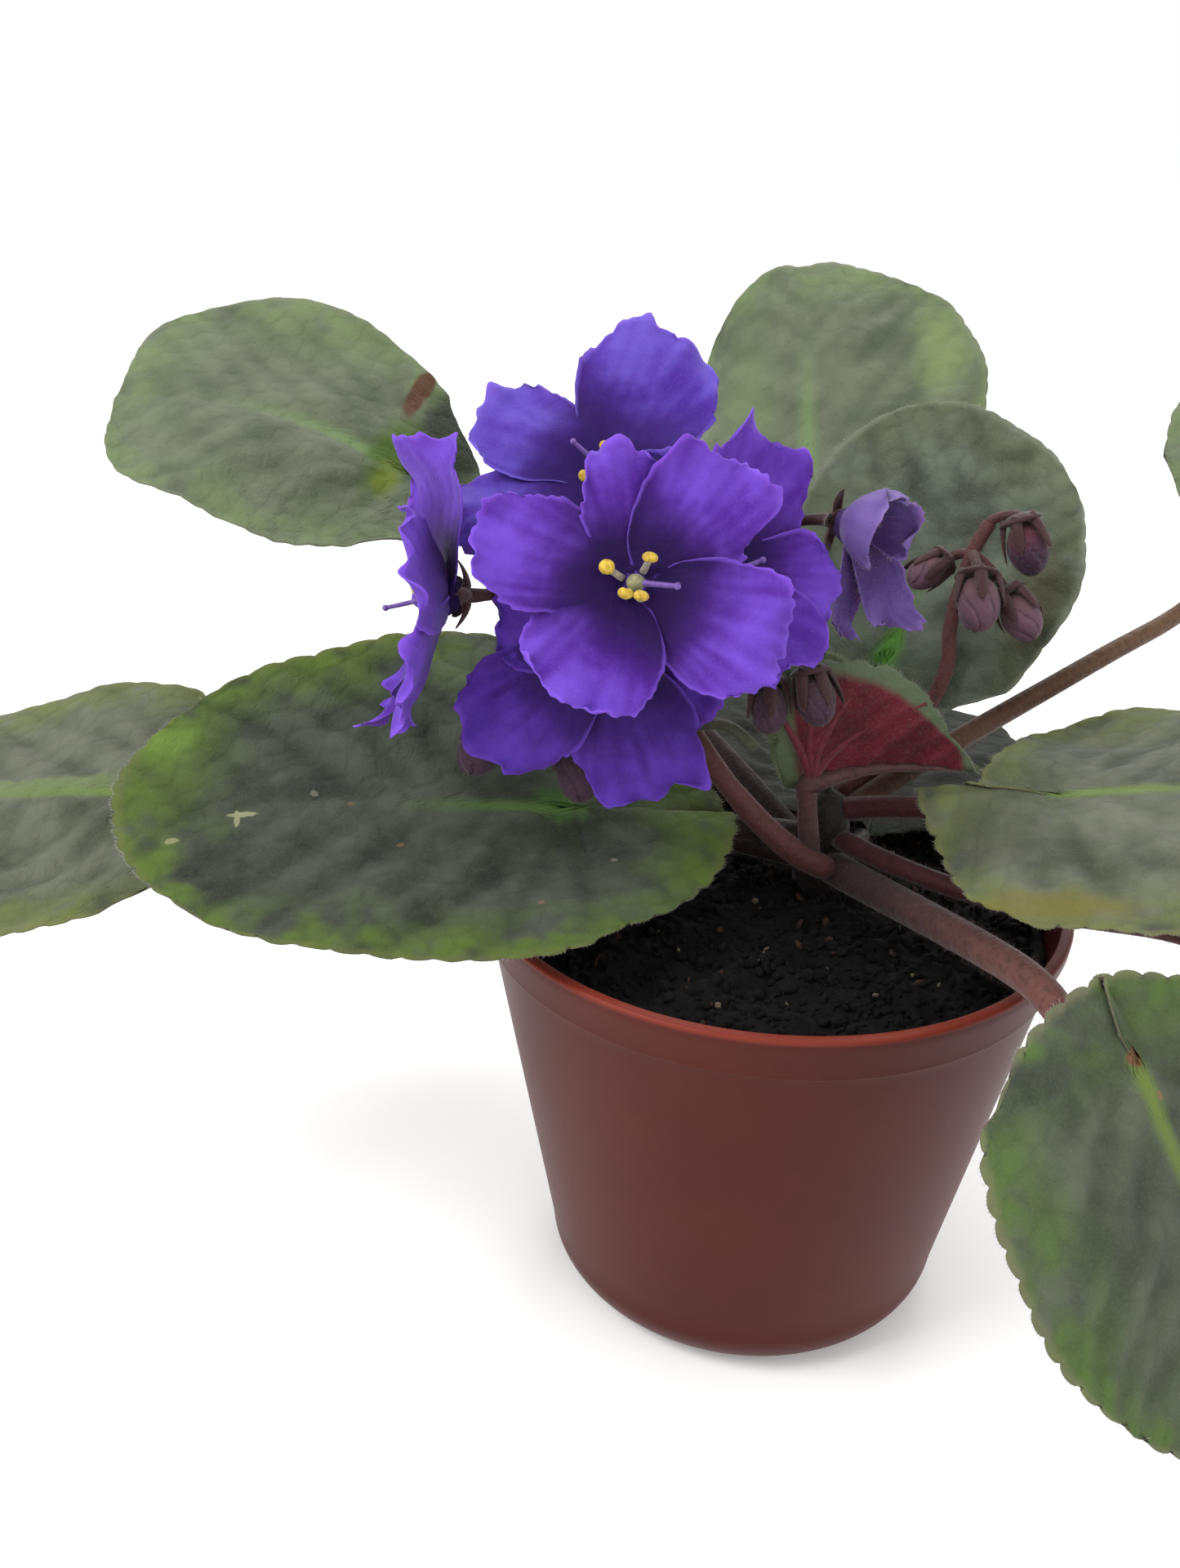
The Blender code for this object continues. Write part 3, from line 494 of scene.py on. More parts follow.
def tube(shape, path, radii, sides=12, kind=0, **values):
    """Adds a closed round stem along a path, with values given for each point of the path."""
    path = np.asarray(path, float)
    radii = np.broadcast_to(radii, len(path))
    _, side, third = ring_frames(path)
    turn = round_turn(sides)[..., None]
    out = np.cos(turn) * side[:, None] + np.sin(turn) * third[:, None]
    skin = path[:, None] + out * radii[:, None, None]
    points = np.concatenate([skin.reshape(-1, 3), path[:1], path[-1:]])
    given = {}
    for key, value in values.items():
        each = np.broadcast_to(value, len(path))
        given[key] = np.concatenate([np.repeat(each, sides), [each[0], each[-1]]])
    shape.add(points, closed_faces(len(path), sides)[:, ::-1], kind, **given)
    return skin, normalised(out)


def lump(shape, placing, radii, sides=18, rings=12, form=None, kind=0, **values):
    """Adds a ball with those half sizes; form(turn, height) swells it."""
    fall = np.linspace(0, math.pi, rings + 1)[1:-1, None]
    turn = round_turn(sides)
    ball = np.stack([np.sin(fall) * np.cos(turn), np.sin(fall) * np.sin(turn), np.cos(fall) + 0 * turn], -1)
    if form is not None:
        ball = ball * form(turn, np.cos(fall))[..., None]
    points = np.concatenate([ball.reshape(-1, 3), [(0, 0, 1), (0, 0, -1)]]) * radii
    shape.add(moved(placing, points), closed_faces(rings - 1, sides), kind, **values)
    skin = moved(placing, ball * radii)
    return skin, normalised(skin - placing[:3, 3])


def turned(shape, placing, profile, sides, form=None, **values):
    """Adds a solid of revolution round the placing's Z; its profile starts and ends on that axis."""
    profile = np.asarray(profile, float)
    turn = round_turn(sides)
    radius, height = profile[1:-1, :1], profile[1:-1, 1:]
    skin = np.stack([radius * np.cos(turn), radius * np.sin(turn), height + 0 * turn], -1)
    if form is not None:
        skin = form(skin)
    points = np.concatenate([skin.reshape(-1, 3), [(0, 0, profile[0, 1]), (0, 0, profile[-1, 1])]])
    shape.add(moved(placing, points), closed_faces(len(radius), sides), **values)
    return skin


def arc_between(start, leaving, end, arriving, steps):
    """Points on a cubic curve that leaves start and reaches end along those two vectors."""
    t = np.linspace(0, 1, steps + 1)[:, None]
    return ((1 - t) ** 3 * start + 3 * t * (1 - t) ** 2 * (start + leaving)
            + 3 * t * t * (1 - t) * (end - arriving) + t ** 3 * end)


def smoothed(points, steps):
    """A rounder path through the same points."""
    points = np.asarray(points, float)
    padded = np.concatenate([[2 * points[0] - points[1]], points, [2 * points[-1] - points[-2]]])
    path = []
    for a, b, c, d in zip(padded, padded[1:], padded[2:], padded[3:]):
        for t in np.linspace(0, 1, steps, endpoint=False):
            path.append(0.5 * (2 * b + (c - a) * t + (2 * a - 5 * b + 4 * c - d) * t * t
                               + (3 * b - a - 3 * c + d) * t ** 3))
    return np.array(path + [points[-1]])


def hairs(shape, roots, ways, length, draw, kind, radius=HAIR_RADIUS, lean=0.35):
    """Adds thin three-sided hairs that taper to a point."""
    count = len(roots)
    ways = normalised(normalised(ways) + draw.normal(size=(count, 3)) * lean)
    reach = length * draw.uniform(0.5, 1.15, count)[:, None]
    side = normalised(np.cross(ways, draw.normal(size=(count, 3))))
    third = np.cross(ways, side)
    corners = (side, -0.5 * side + 0.87 * third, -0.5 * side - 0.87 * third)
    foot = [roots - ways * 0.0001 + corner * radius for corner in corners]
    points = np.stack(foot + [roots + ways * reach], 1)
    pattern = np.array([(0, 2, 1), (0, 1, 3), (1, 2, 3), (2, 0, 3)])
    faces = pattern[None] + 4 * np.arange(count)[:, None, None]
    shape.add(points, faces, kind)


def furred(shape, skin, out, count, length, draw, kind=1, rows=(0.0, 1.0), **settings):
    """Adds that many hairs at random places on a grid of points."""
    count = int(count)
    high, wide = skin.shape[0] - 1, skin.shape[1] - 1
    r, c = draw.uniform(*rows, count) * high, draw.uniform(0, 1, count) * wide
    r0, c0 = np.minimum(r.astype(int), high - 1), np.minimum(c.astype(int), wide - 1)
    fr, fc = (r - r0)[:, None], (c - c0)[:, None]

    def between(values):
        return ((values[r0, c0] * (1 - fr) + values[r0 + 1, c0] * fr) * (1 - fc)
                + (values[r0, c0 + 1] * (1 - fr) + values[r0 + 1, c0 + 1] * fr) * fc)

    hairs(shape, between(skin), normalised(between(out)), length, draw, kind, **settings)


def fringed(shape, rim, outward, count, length, draw, kind=1):
    """Adds that many hairs along the margin of a sheet."""
    pick = draw.integers(0, len(rim), count)
    hairs(shape, rim[pick], outward[pick], length, draw, kind)


class Value:
    """A number or colour that a material works out at each spot. Sums with it add to that material."""

    def __init__(self, paint, socket):
        self.paint, self.socket = paint, socket

    def __add__(self, other):
        return self.paint.calc("ADD", self, other)

    def __sub__(self, other):
        return self.paint.calc("SUBTRACT", self, other)

    def __rsub__(self, other):
        return self.paint.calc("SUBTRACT", other, self)

    def __mul__(self, other):
        return self.paint.calc("MULTIPLY", self, other)

    def __truediv__(self, other):
        return self.paint.calc("DIVIDE", self, other)

    def __abs__(self):
        return self.paint.calc("ABSOLUTE", self)

    def __round__(self):
        return self.paint.calc("ROUND", self)

    def step(self, low, high):
        """0 below low, 1 above high and smooth between, or the other way round."""
        node = self.paint.nodes.new("ShaderNodeMapRange")
        node.interpolation_type = "SMOOTHSTEP"
        rising = low < high
        ends = (self, min(low, high), max(low, high), 0.0 if rising else 1.0, 1.0 if rising else 0.0)
        for socket, value in zip(("Value", "From Min", "From Max", "To Min", "To Max"), ends):
            self.paint.feed(node.inputs[socket], value)
        return Value(self.paint, node.outputs["Result"])


class Paint:
    """One procedural material, built up node by node. Lengths given to it are in mm."""

    def __init__(self, name, **settings):
        self.material = bpy.data.materials.new(name)
        self.material.use_nodes = True
        self.nodes = self.material.node_tree.nodes
        self.shader = self.nodes["Principled BSDF"]
        self.place = Value(self, self.nodes.new("ShaderNodeTexCoord").outputs["Object"])
        for socket, value in settings.items():
            self.shader.inputs[socket.replace("_", " ")].default_value = value

    def feed(self, socket, value):
        """Links a value that the material works out to the socket, or sets it to a plain one."""
        if isinstance(value, Value):
            self.material.node_tree.links.new(value.socket, socket)
        else:
            socket.default_value = value

    def value(self, name):
        """A value that the mesh carries on its points."""
        node = self.nodes.new("ShaderNodeAttribute")
        node.attribute_name = name
        return Value(self, node.outputs["Fac"])

    def calc(self, operation, *terms):
        """One sum on numbers."""
        node = self.nodes.new("ShaderNodeMath")
        node.operation = operation
        for socket, term in zip(node.inputs, terms):
            self.feed(socket, term)
        return Value(self, node.outputs[0])

    def noise(self, size, detail=3.0, roughness=0.55):
        """Soft noise with lumps of about that size."""
        node = self.nodes.new("ShaderNodeTexNoise")
        for socket, value in (("Vector", self.place), ("Scale", 1000.0 / size), ("Detail", detail),
                              ("Roughness", roughness)):
            self.feed(node.inputs[socket], value)
        return Value(self, node.outputs[0])

    def mix(self, share, first, second, screen=True):
        """The first colour turned to the second by that share; screen colours run from 0 to 255."""
        node = self.nodes.new("ShaderNodeMix")
        node.data_type = "RGBA"
        self.feed(node.inputs[0], share)
        for socket, colour in zip(node.inputs[6:8], (first, second)):
            self.feed(socket, linear(colour) if screen and isinstance(colour, tuple) else colour)
        return Value(self, node.outputs[2])

    def bump(self, *layers):
        """Raises the surface by those heights, each given with its depth in mm."""
        normal = None
        for height, depth in layers:
            node = self.nodes.new("ShaderNodeBump")
            node.inputs["Distance"].default_value = depth / 1000.0
            self.feed(node.inputs["Height"], height)
            if normal is not None:
                self.feed(node.inputs["Normal"], normal)
            normal = Value(self, node.outputs["Normal"])
        self.feed(self.shader.inputs["Normal"], normal)

    def done(self, colour):
        """Sets the colour and hands over the material."""
        self.feed(self.shader.inputs["Base Color"], colour)
        return self.material


def linear(colour):
    """The base colour that looks like this screen colour of 0 to 255 under the studio light."""
    shares = [part / 255 for part in colour]
    true = [s / 12.92 if s <= 0.04045 else ((s + 0.055) / 1.055) ** 2.4 for s in shares]
    return (*[part / LIGHT for part in true], 1.0)


def scaled(colour, factor, more=0):
    """A lighter or darker shade of a screen colour."""
    return tuple(min(255, part * factor + more) for part in colour)


class Look(NamedTuple):
    """Colours of one leaf, on a 0 to 255 screen scale."""

    # The dark tone below is also the colour of the painted shade in the valleys and the fine veins.
    shade: tuple  # the dull field in the middle, where it is dark
    field: tuple  # and where it is light
    patch: tuple  # the greener fields near the margin
    patches: float  # how strong they are
    rim: tuple
    rib: tuple
    rib_width: float  # how far the bright midrib reaches to each side, in mm
    rib_reach: float  # and along the blade, as a share of its length
    under: tuple


LOOKS = {
    "dark": Look((38, 44, 38), (82, 90, 76), (94, 120, 42), 1.0, (112, 118, 66), (92, 132, 56), 1.9, 0.42,
                 (112, 92, 86)),
    "grey": Look((70, 76, 62), (118, 122, 106), (116, 128, 58), 0.8, (130, 132, 84), (122, 150, 72), 2.3,
                 0.9, (118, 98, 90)),
    "front": Look((62, 72, 58), (100, 108, 90), (90, 120, 48), 0.95, (138, 134, 104), (118, 142, 60), 2.4,
                  0.85, (118, 98, 90)),
    # Painted sheen: paler, greyer greens on the far leaves, for the sheen of their hairs seen at a grazing
    # angle.
    "painted_sheen": Look((90, 100, 80), (120, 128, 106), (124, 148, 92), 0.75, (134, 144, 112), (128, 156, 98),
                 3.0, 0.8, (132, 120, 106)),
    "deep": Look((64, 72, 60), (112, 122, 106), (100, 106, 64), 0.5, (142, 150, 128), (96, 140, 60), 2.2,
                 0.4, (118, 98, 90)),
    "young": Look((66, 82, 60), (104, 118, 92), (108, 130, 82), 0.6, (126, 138, 102), (112, 134, 80), 1.5,
                  0.5, (122, 34, 52)),
    # Painted shade: this look colours a whole leaf as if it lay in deep shadow under the others.
    "shade": Look((24, 27, 20), (42, 46, 34), (40, 52, 26), 0.6, (56, 60, 34), (50, 66, 34), 1.6, 0.6,
                  (70, 38, 38)),
}
PLAIN_STALK = ((50, 28, 26), (84, 66, 52))
STALK_COLOURS = {  # at the foot and at the blade
    "leaf_front_right": ((60, 38, 36), (124, 76, 68)),
    "leaf_right": ((74, 26, 30), (84, 44, 42)),
    "leaf_right_low": ((74, 26, 30), (92, 44, 42)),
    "leaf_young": ((78, 62, 56), (96, 62, 62)),
    "leaf_back_right": ((84, 54, 36), (108, 78, 52)),
    # Painted shade: the stalk of leaf_back_low is darkened like its blade.
    "leaf_back_low": ((44, 24, 22), (58, 32, 30)),
}


class Mark(NamedTuple):
    """A spot of another colour on a blade, in mm along and across from the base."""

    along: float
    across: float
    long: float  # half sizes
    wide: float
    soft: float  # how far its edge fades, from 0 to 1
    colour: tuple
    share: float


MARKS = {
    "leaf_front_left": (
        # Painted shade: a dark strip in the groove beside the midrib.
        Mark(41, -3.6, 15, 2.6, 0.9, (34, 40, 38), 0.6),
        Mark(65, -15.8, 7, 5, 0.9, (116, 146, 60), 0.75),
        Mark(0, -0.5, 6, 4, 0.9, (84, 128, 50), 0.7),
        Mark(54.0, 0.9, 2.2, 0.6, 0.3, (158, 160, 122), 0.95),
        Mark(55.0, 1.6, 0.5, 1.8, 0.3, (158, 160, 122), 0.9),
        Mark(65.3, 5.8, 1.0, 0.6, 0.2, (150, 152, 112), 0.9),
        Mark(42.2, -2.6, 0.6, 0.5, 0.2, (128, 122, 108), 0.9),
        Mark(28.3, 7.3, 0.7, 0.4, 0.2, (116, 92, 64), 0.9),
        Mark(6.5, 22.8, 0.6, 0.5, 0.2, (128, 108, 84), 0.9),
        Mark(-7.4, 12, 0.5, 0.5, 0.2, (132, 126, 112), 0.9),
        Mark(36.2, -0.6, 0.7, 0.4, 0.2, (112, 92, 70), 0.9),
    ),
    "leaf_left": (
        Mark(20, -2.6, 24, 2.6, 0.9, (130, 154, 94), 0.6),
    ),
    "leaf_back_left": (
        # Painted shade: the far lobe, which lies in shadow, is painted a dark green.
        Mark(-5, -16, 9, 17, 0.6, (22, 30, 22), 0.92),
        Mark(3.5, -2, 4.4, 17, 0.9, (76, 104, 30), 0.9),
        Mark(1.5, 4, 3.2, 6, 0.9, (120, 136, 30), 0.75),
        Mark(5.0, -24, 1.9, 9, 0.5, (92, 52, 34), 0.95),
    ),
    "leaf_back": (
        Mark(31, -28, 14, 6, 0.9, (140, 160, 98), 0.6),
        Mark(28, 14, 22, 8, 0.9, (128, 150, 96), 0.4),
    ),
    "leaf_back_inner": (
        Mark(16, 8, 13, 9, 0.9, (50, 60, 48), 0.4),
        Mark(19, -21, 12, 6, 0.9, (86, 76, 50), 0.6),
        Mark(1, 0, 6, 3, 0.9, (84, 146, 44), 0.85),
    ),
    "leaf_right": (
        Mark(-9, -12, 9, 10, 0.9, (66, 70, 54), 0.5),
        Mark(0, -31, 17, 5, 0.9, (126, 120, 46), 0.75),
        Mark(12, -9, 9, 4, 0.9, (132, 136, 118), 0.4),
    ),
    "leaf_front_right": (
        Mark(-0.3, 0, 1.6, 1.3, 0.4, (134, 88, 60), 0.9),
        Mark(5.6, 1.4, 0.6, 0.5, 0.2, (140, 112, 78), 0.9),
    ),
}


def blade_skin(leaf):
    """The blade: dull in the middle, with painted shade in the valleys along the side veins and in the
    sunken fine veins, greener fields near the margin and a bright midrib.
    """
    look = LOOKS[leaf.look]
    paint = Paint(leaf.name + "_skin", Roughness=0.62, Sheen_Weight=0.05, Sheen_Roughness=0.4,
                  Specular_IOR_Level=0.16)
    number, along, aside = paint.value("number"), paint.value("along"), paint.value("across")
    side = abs(number - round(number)) * paint.value("spacing")
    net, margin, across = paint.value("net"), paint.value("margin"), abs(aside)
    valley = (side + paint.noise(5, 2) * 1.6).step(4.4, 0.8)
    fuzz = paint.noise(0.45, 4, 0.7)
    # Painted shade: the tone falls towards the dark shade colour in the valleys along the side veins.
    tone = paint.noise(13, 3) - valley * 0.11
    dull = paint.mix(tone.step(0.18, 0.66), look.shade, look.field)
    # The greener fields fade in those valleys too, as part of the same painted shade.
    field = margin.step(18, 0.5) * paint.noise(10, 2).step(0.34, 0.58) * (1.0 - valley * 0.3)
    colour = paint.mix(field * look.patches, dull, look.patch)
    # The net of fine veins: sunk by the bump, and painted darker towards the shade colour as painted shade.
    web = (net + paint.noise(2, 2)).step(2.0, 0.6)
    colour = paint.mix(web * 0.16, colour, look.shade)
    colour = paint.mix(margin.step(1.9, 0.1) * 0.55, colour, look.rim)
    length = leaf.length * 1000
    rib = (across + paint.noise(3, 2) * 0.8).step(look.rib_width + 0.5, 0.5)
    rib = rib * along.step(length * look.rib_reach, length * 0.08) * along.step(-2.0, 0.0)
    forks = side.step(1.6, 0.2) * (across + abs(along)).step(20, 6)
    rib = paint.calc("MAXIMUM", rib, forks * 0.10)
    colour = paint.mix(rib * 0.85, colour, look.rib)
    for mark in MARKS.get(leaf.name, ()):
        one, two = (along - mark.along) / mark.long, (aside - mark.across) / mark.wide
        span = paint.calc("SQRT", one * one + two * two)
        rough = paint.noise(max(0.8, mark.wide * 0.8), 2) - 0.5
        share = (span + rough).step(1.2, 1.15 - mark.soft) * mark.share
        colour = paint.mix(share, colour, mark.colour)
    beneath = paint.mix(side.step(1.4, 0.2) * 0.18, look.under, scaled(look.under, 1, 34))
    beneath = paint.mix(paint.noise(7, 4).step(0.35, 0.7), beneath, scaled(look.under, 0.72))
    if leaf.look == "young":
        beneath = paint.mix(margin.step(4.2, 2.2), beneath, look.field)
    colour = paint.mix(paint.value("under"), colour, beneath)
    colour = paint.mix(fuzz.step(0.45, 0.75) * 0.22, colour, look.rim)
    paint.bump((fuzz, 0.22), (paint.noise(1.6, 3), 0.25), (web, -0.10))
    return paint.done(colour)


def stalk_skin(name, low, high):
    """A soft stalk that turns from one colour at its foot to the other at its head."""
    paint = Paint(name, Roughness=0.55, Sheen_Weight=0.15, Sheen_Roughness=0.5, Specular_IOR_Level=0.2)
    share = paint.value("share") + paint.noise(5) * 0.3
    colour = paint.mix(share.step(0.2, 1.1), low, high)
    colour = paint.mix(paint.noise(1.1, 4).step(0.45, 0.7) * 0.5, colour, scaled(low, 0.6))
    paint.bump((paint.noise(0.7, 4), 0.2), (paint.noise(2.5, 2), 0.4))
    return paint.done(colour)


def hair_skin(name, colour):
    """Dull hairs of that colour and a lighter shade of it."""
    paint = Paint(name, Roughness=0.45, Specular_IOR_Level=0.4)
    return paint.done(paint.mix(paint.noise(6, 2), colour, scaled(colour, 1.2)))


def petal_skin(name, throat, body, light):
    """A petal: darker towards the throat (its deeper colour there and painted shade in the throat's depth),
    clouded, with painted glints on its fine grain and a thin paler margin.
    """
    paint = Paint(name, Roughness=0.55, Sheen_Weight=0.05, Sheen_Roughness=0.4, Specular_IOR_Level=0.12,
                  Subsurface_Weight=0.10, Subsurface_Scale=0.002)
    share, edge = paint.value("share"), paint.value("edge")
    clouds, glint_and_grain = paint.noise(8, 3), paint.noise(0.4, 3, 0.75)
    tone = share * 0.5 + clouds * 0.95 + paint.value("streak") * 0.06
    colour = paint.mix(tone.step(0.56, 1.12), body, light)
    # Darker towards the throat: partly the petal's deeper colour there, partly painted shade in the throat's
    # depth.
    colour = paint.mix((share + clouds * 0.3).step(0.86, 0.34), colour, throat)
    bright = scaled(light, 1.12, 18)
    colour = paint.mix(edge.step(0.92, 1.0) * 0.40, colour, bright)
    # Painted glints: light specks on the outer petal where its fine grain would sparkle.
    colour = paint.mix(glint_and_grain.step(0.5, 0.75) * share.step(0.25, 0.8) * 0.22, colour, bright)
    colour = paint.mix(paint.value("under") * 0.25, colour, bright)
    paint.bump((glint_and_grain, 0.16), (paint.noise(1.8, 3), 0.20))
    return paint.done(colour)


def blade_frame(leaf, along):
    """Centre of the midrib that far along it, with the directions along, left and out of the blade."""
    along = np.asarray(along, float)
    ahead = unit(leaf.heading, 0)
    start = math.radians(leaf.pitch)
    bend = math.radians(leaf.droop) / leaf.length
    slope = start - bend * np.maximum(along, 0.0)
    reach = np.where(along > 0, (math.sin(start) - np.sin(slope)) / bend, along * math.cos(start))
    rise = np.where(along > 0, (np.cos(slope) - math.cos(start)) / bend, along * math.sin(start))
    centre = np.array(leaf.base) + reach[..., None] * ahead + rise[..., None] * UP
    tangent = np.cos(slope)[..., None] * ahead + np.sin(slope)[..., None] * UP
    level = np.cross(UP, ahead) + 0 * tangent
    roll = math.radians(leaf.roll)
    left = level * math.cos(roll) + np.cross(tangent, level) * math.sin(roll)
    return centre, tangent, left, np.cross(tangent, left)


def blade_point(leaf, along, across, depth=0.0):
    """A point of the upper face, or that far below it, with the way out of the face there."""
    across = np.asarray(across, float)
    centre, _, left, out = blade_frame(leaf, along)
    start = math.radians(leaf.fold)
    bend = 2 * np.radians(np.where(across > 0, leaf.curl_left, leaf.curl_right)) / leaf.width
    end = start + bend * np.abs(across)
    sideways = np.copysign((np.sin(end) - math.sin(start)) / bend, across)
    groove = MIDRIB_GROOVE * bell(across, MIDRIB_GROOVE_WIDTH)
    lift = (math.cos(start) - np.cos(end)) / bend - groove - depth
    point = centre + sideways[..., None] * left + lift[..., None] * out
    face = np.cos(end)[..., None] * out - (np.sin(end) * np.sign(across))[..., None] * left
    return point, face


def blade_outline(leaf, a, b):
    """Distances along and across for a point of the square from -1 to 1, bent to a heart shape."""
    lobe = leaf.length * leaf.lobe
    half = (leaf.length + lobe) / 2
    x, y = disc(a, b)
    teeth = round(leaf.width / TOOTH_PITCH)
    tooth = np.abs(np.cos(math.pi * (a + b + 2) / 2 * teeth)) ** 0.6 - 0.6
    uneven = ripple(np.stack([x, y], -1), 0.3, teeth)
    depth = TOOTH * (0.45 if leaf.look in FAR else 1)
    edge = np.maximum(np.abs(a), np.abs(b)) ** 12 * (depth * tooth + EDGE_UNEVEN * uneven)
    x = x + edge / half * x
    y = y + edge / (leaf.width / 2) * y
    across = leaf.width / 2 * y * (1 - leaf.taper * x)
    x = x * (1 + leaf.blunt * np.maximum(0.0, x) * (1 - x * x))
    along = half * (x + 1) - lobe
    along = along + lobe * bell(across, NOTCH_WIDTH) * ((1 - x) / 2) ** 3
    along = along * np.where((along < 0) & (across > 0), leaf.left_lobe, 1)
    return along, across - LOBE_OVERLAP * np.sign(across) * (1 - np.exp(-behind(leaf, along) / BASE_BLEND))


def behind(leaf, along):
    """0 at the base of the blade and before it, and up to 1 at the far end of its lobes."""
    return np.clip(-along / (leaf.length * leaf.lobe), 0, 1)


def venation(leaf, along, across):
    """Number of the side vein that a point is near, and the space between veins there."""
    side = np.abs(across)
    bent = along - side * side / leaf.width
    ahead = bent - VEIN_SLANT * side
    pitch = VEIN_PITCH * leaf.length
    turn = np.arctan2(side, bent) - math.atan2(1, VEIN_SLANT)
    number = np.where(ahead > 0, ahead / pitch, -turn / LOBE_VEIN_TURN)
    spacing = np.where(ahead > 0, pitch * 0.84, np.hypot(side, bent) * LOBE_VEIN_TURN)
    number = number + 0.20 * ripple(np.stack([along, across], -1), 0.03, leaf.cells)
    return number, np.minimum(spacing, pitch * 0.95)


def net_distance(leaf, along, across, draw):
    """How far each point is from the net of fine veins, which outlines scattered cushions."""
    size = PEBBLE if leaf.width > 0.05 else PEBBLE * 0.7
    rows = np.arange(along.min() - size, along.max() + size, size)
    columns = np.arange(across.min() - size, across.max() + size, size)
    seeds = np.stack(np.meshgrid(rows, columns, indexing="ij"), -1)
    seeds[1::2, :, 1] += size / 2
    seeds = (seeds + draw.uniform(-0.38, 0.38, seeds.shape) * size).reshape(-1, 2)
    points = np.stack([along, across], -1).reshape(-1, 1, 2)
    gaps = np.linalg.norm(points - seeds, axis=-1)
    near = np.partition(gaps, 1, axis=1)
    return (near[:, 1] - near[:, 0]).reshape(along.shape)


def stalk_path(leaf):
    """Points, radii and shares of the stalk, which goes on under the blade as its midrib."""
    out = unit(leaf.leaving, leaf.rise)
    start = CROWN_CENTRE + unit(leaf.leaving, 0) * (CROWN_RADIUS - 0.0022) + UP * leaf.level
    tangent = blade_frame(leaf, 0.0)[1]
    neck = leaf.stalk * NECK
    end = blade_point(leaf, -0.001, 0.0, neck + BLADE_THICKNESS * 0.3)[0]
    span = np.linalg.norm(end - start)
    path = arc_between(start, out * span * leaf.out_reach, end, tangent * span * leaf.in_reach,
                       STALK_STEPS)
    share = np.linspace(0, 1, len(path))
    hang = 0.0034 * bell(share - 0.80, 0.13) * min(1.0, leaf.length * leaf.lobe / 0.014)
    path = path - hang[:, None] * blade_frame(leaf, 0.0)[3]
    radii = leaf.stalk + (neck - leaf.stalk) * share
    if leaf.look == "young":
        foot = CROWN_CENTRE + unit(leaf.leaving, 0) * (CROWN_RADIUS + 0.001) + UP * (leaf.level - 0.0045)
        path = arc_between(foot, UP * span * 0.3, end, UP * span * 0.3, STALK_STEPS)
        radii = radii * (1.05 + 0.45 * share ** 6)
    shares, widths = np.array(MIDRIB).T
    under = blade_point(leaf, leaf.length * shares, 0.0 * shares, BLADE * 0.35 + widths)[0]
    tail = np.ones(len(shares))
    return (np.concatenate([path, under]), np.concatenate([radii, widths]),
            np.concatenate([share, tail]))


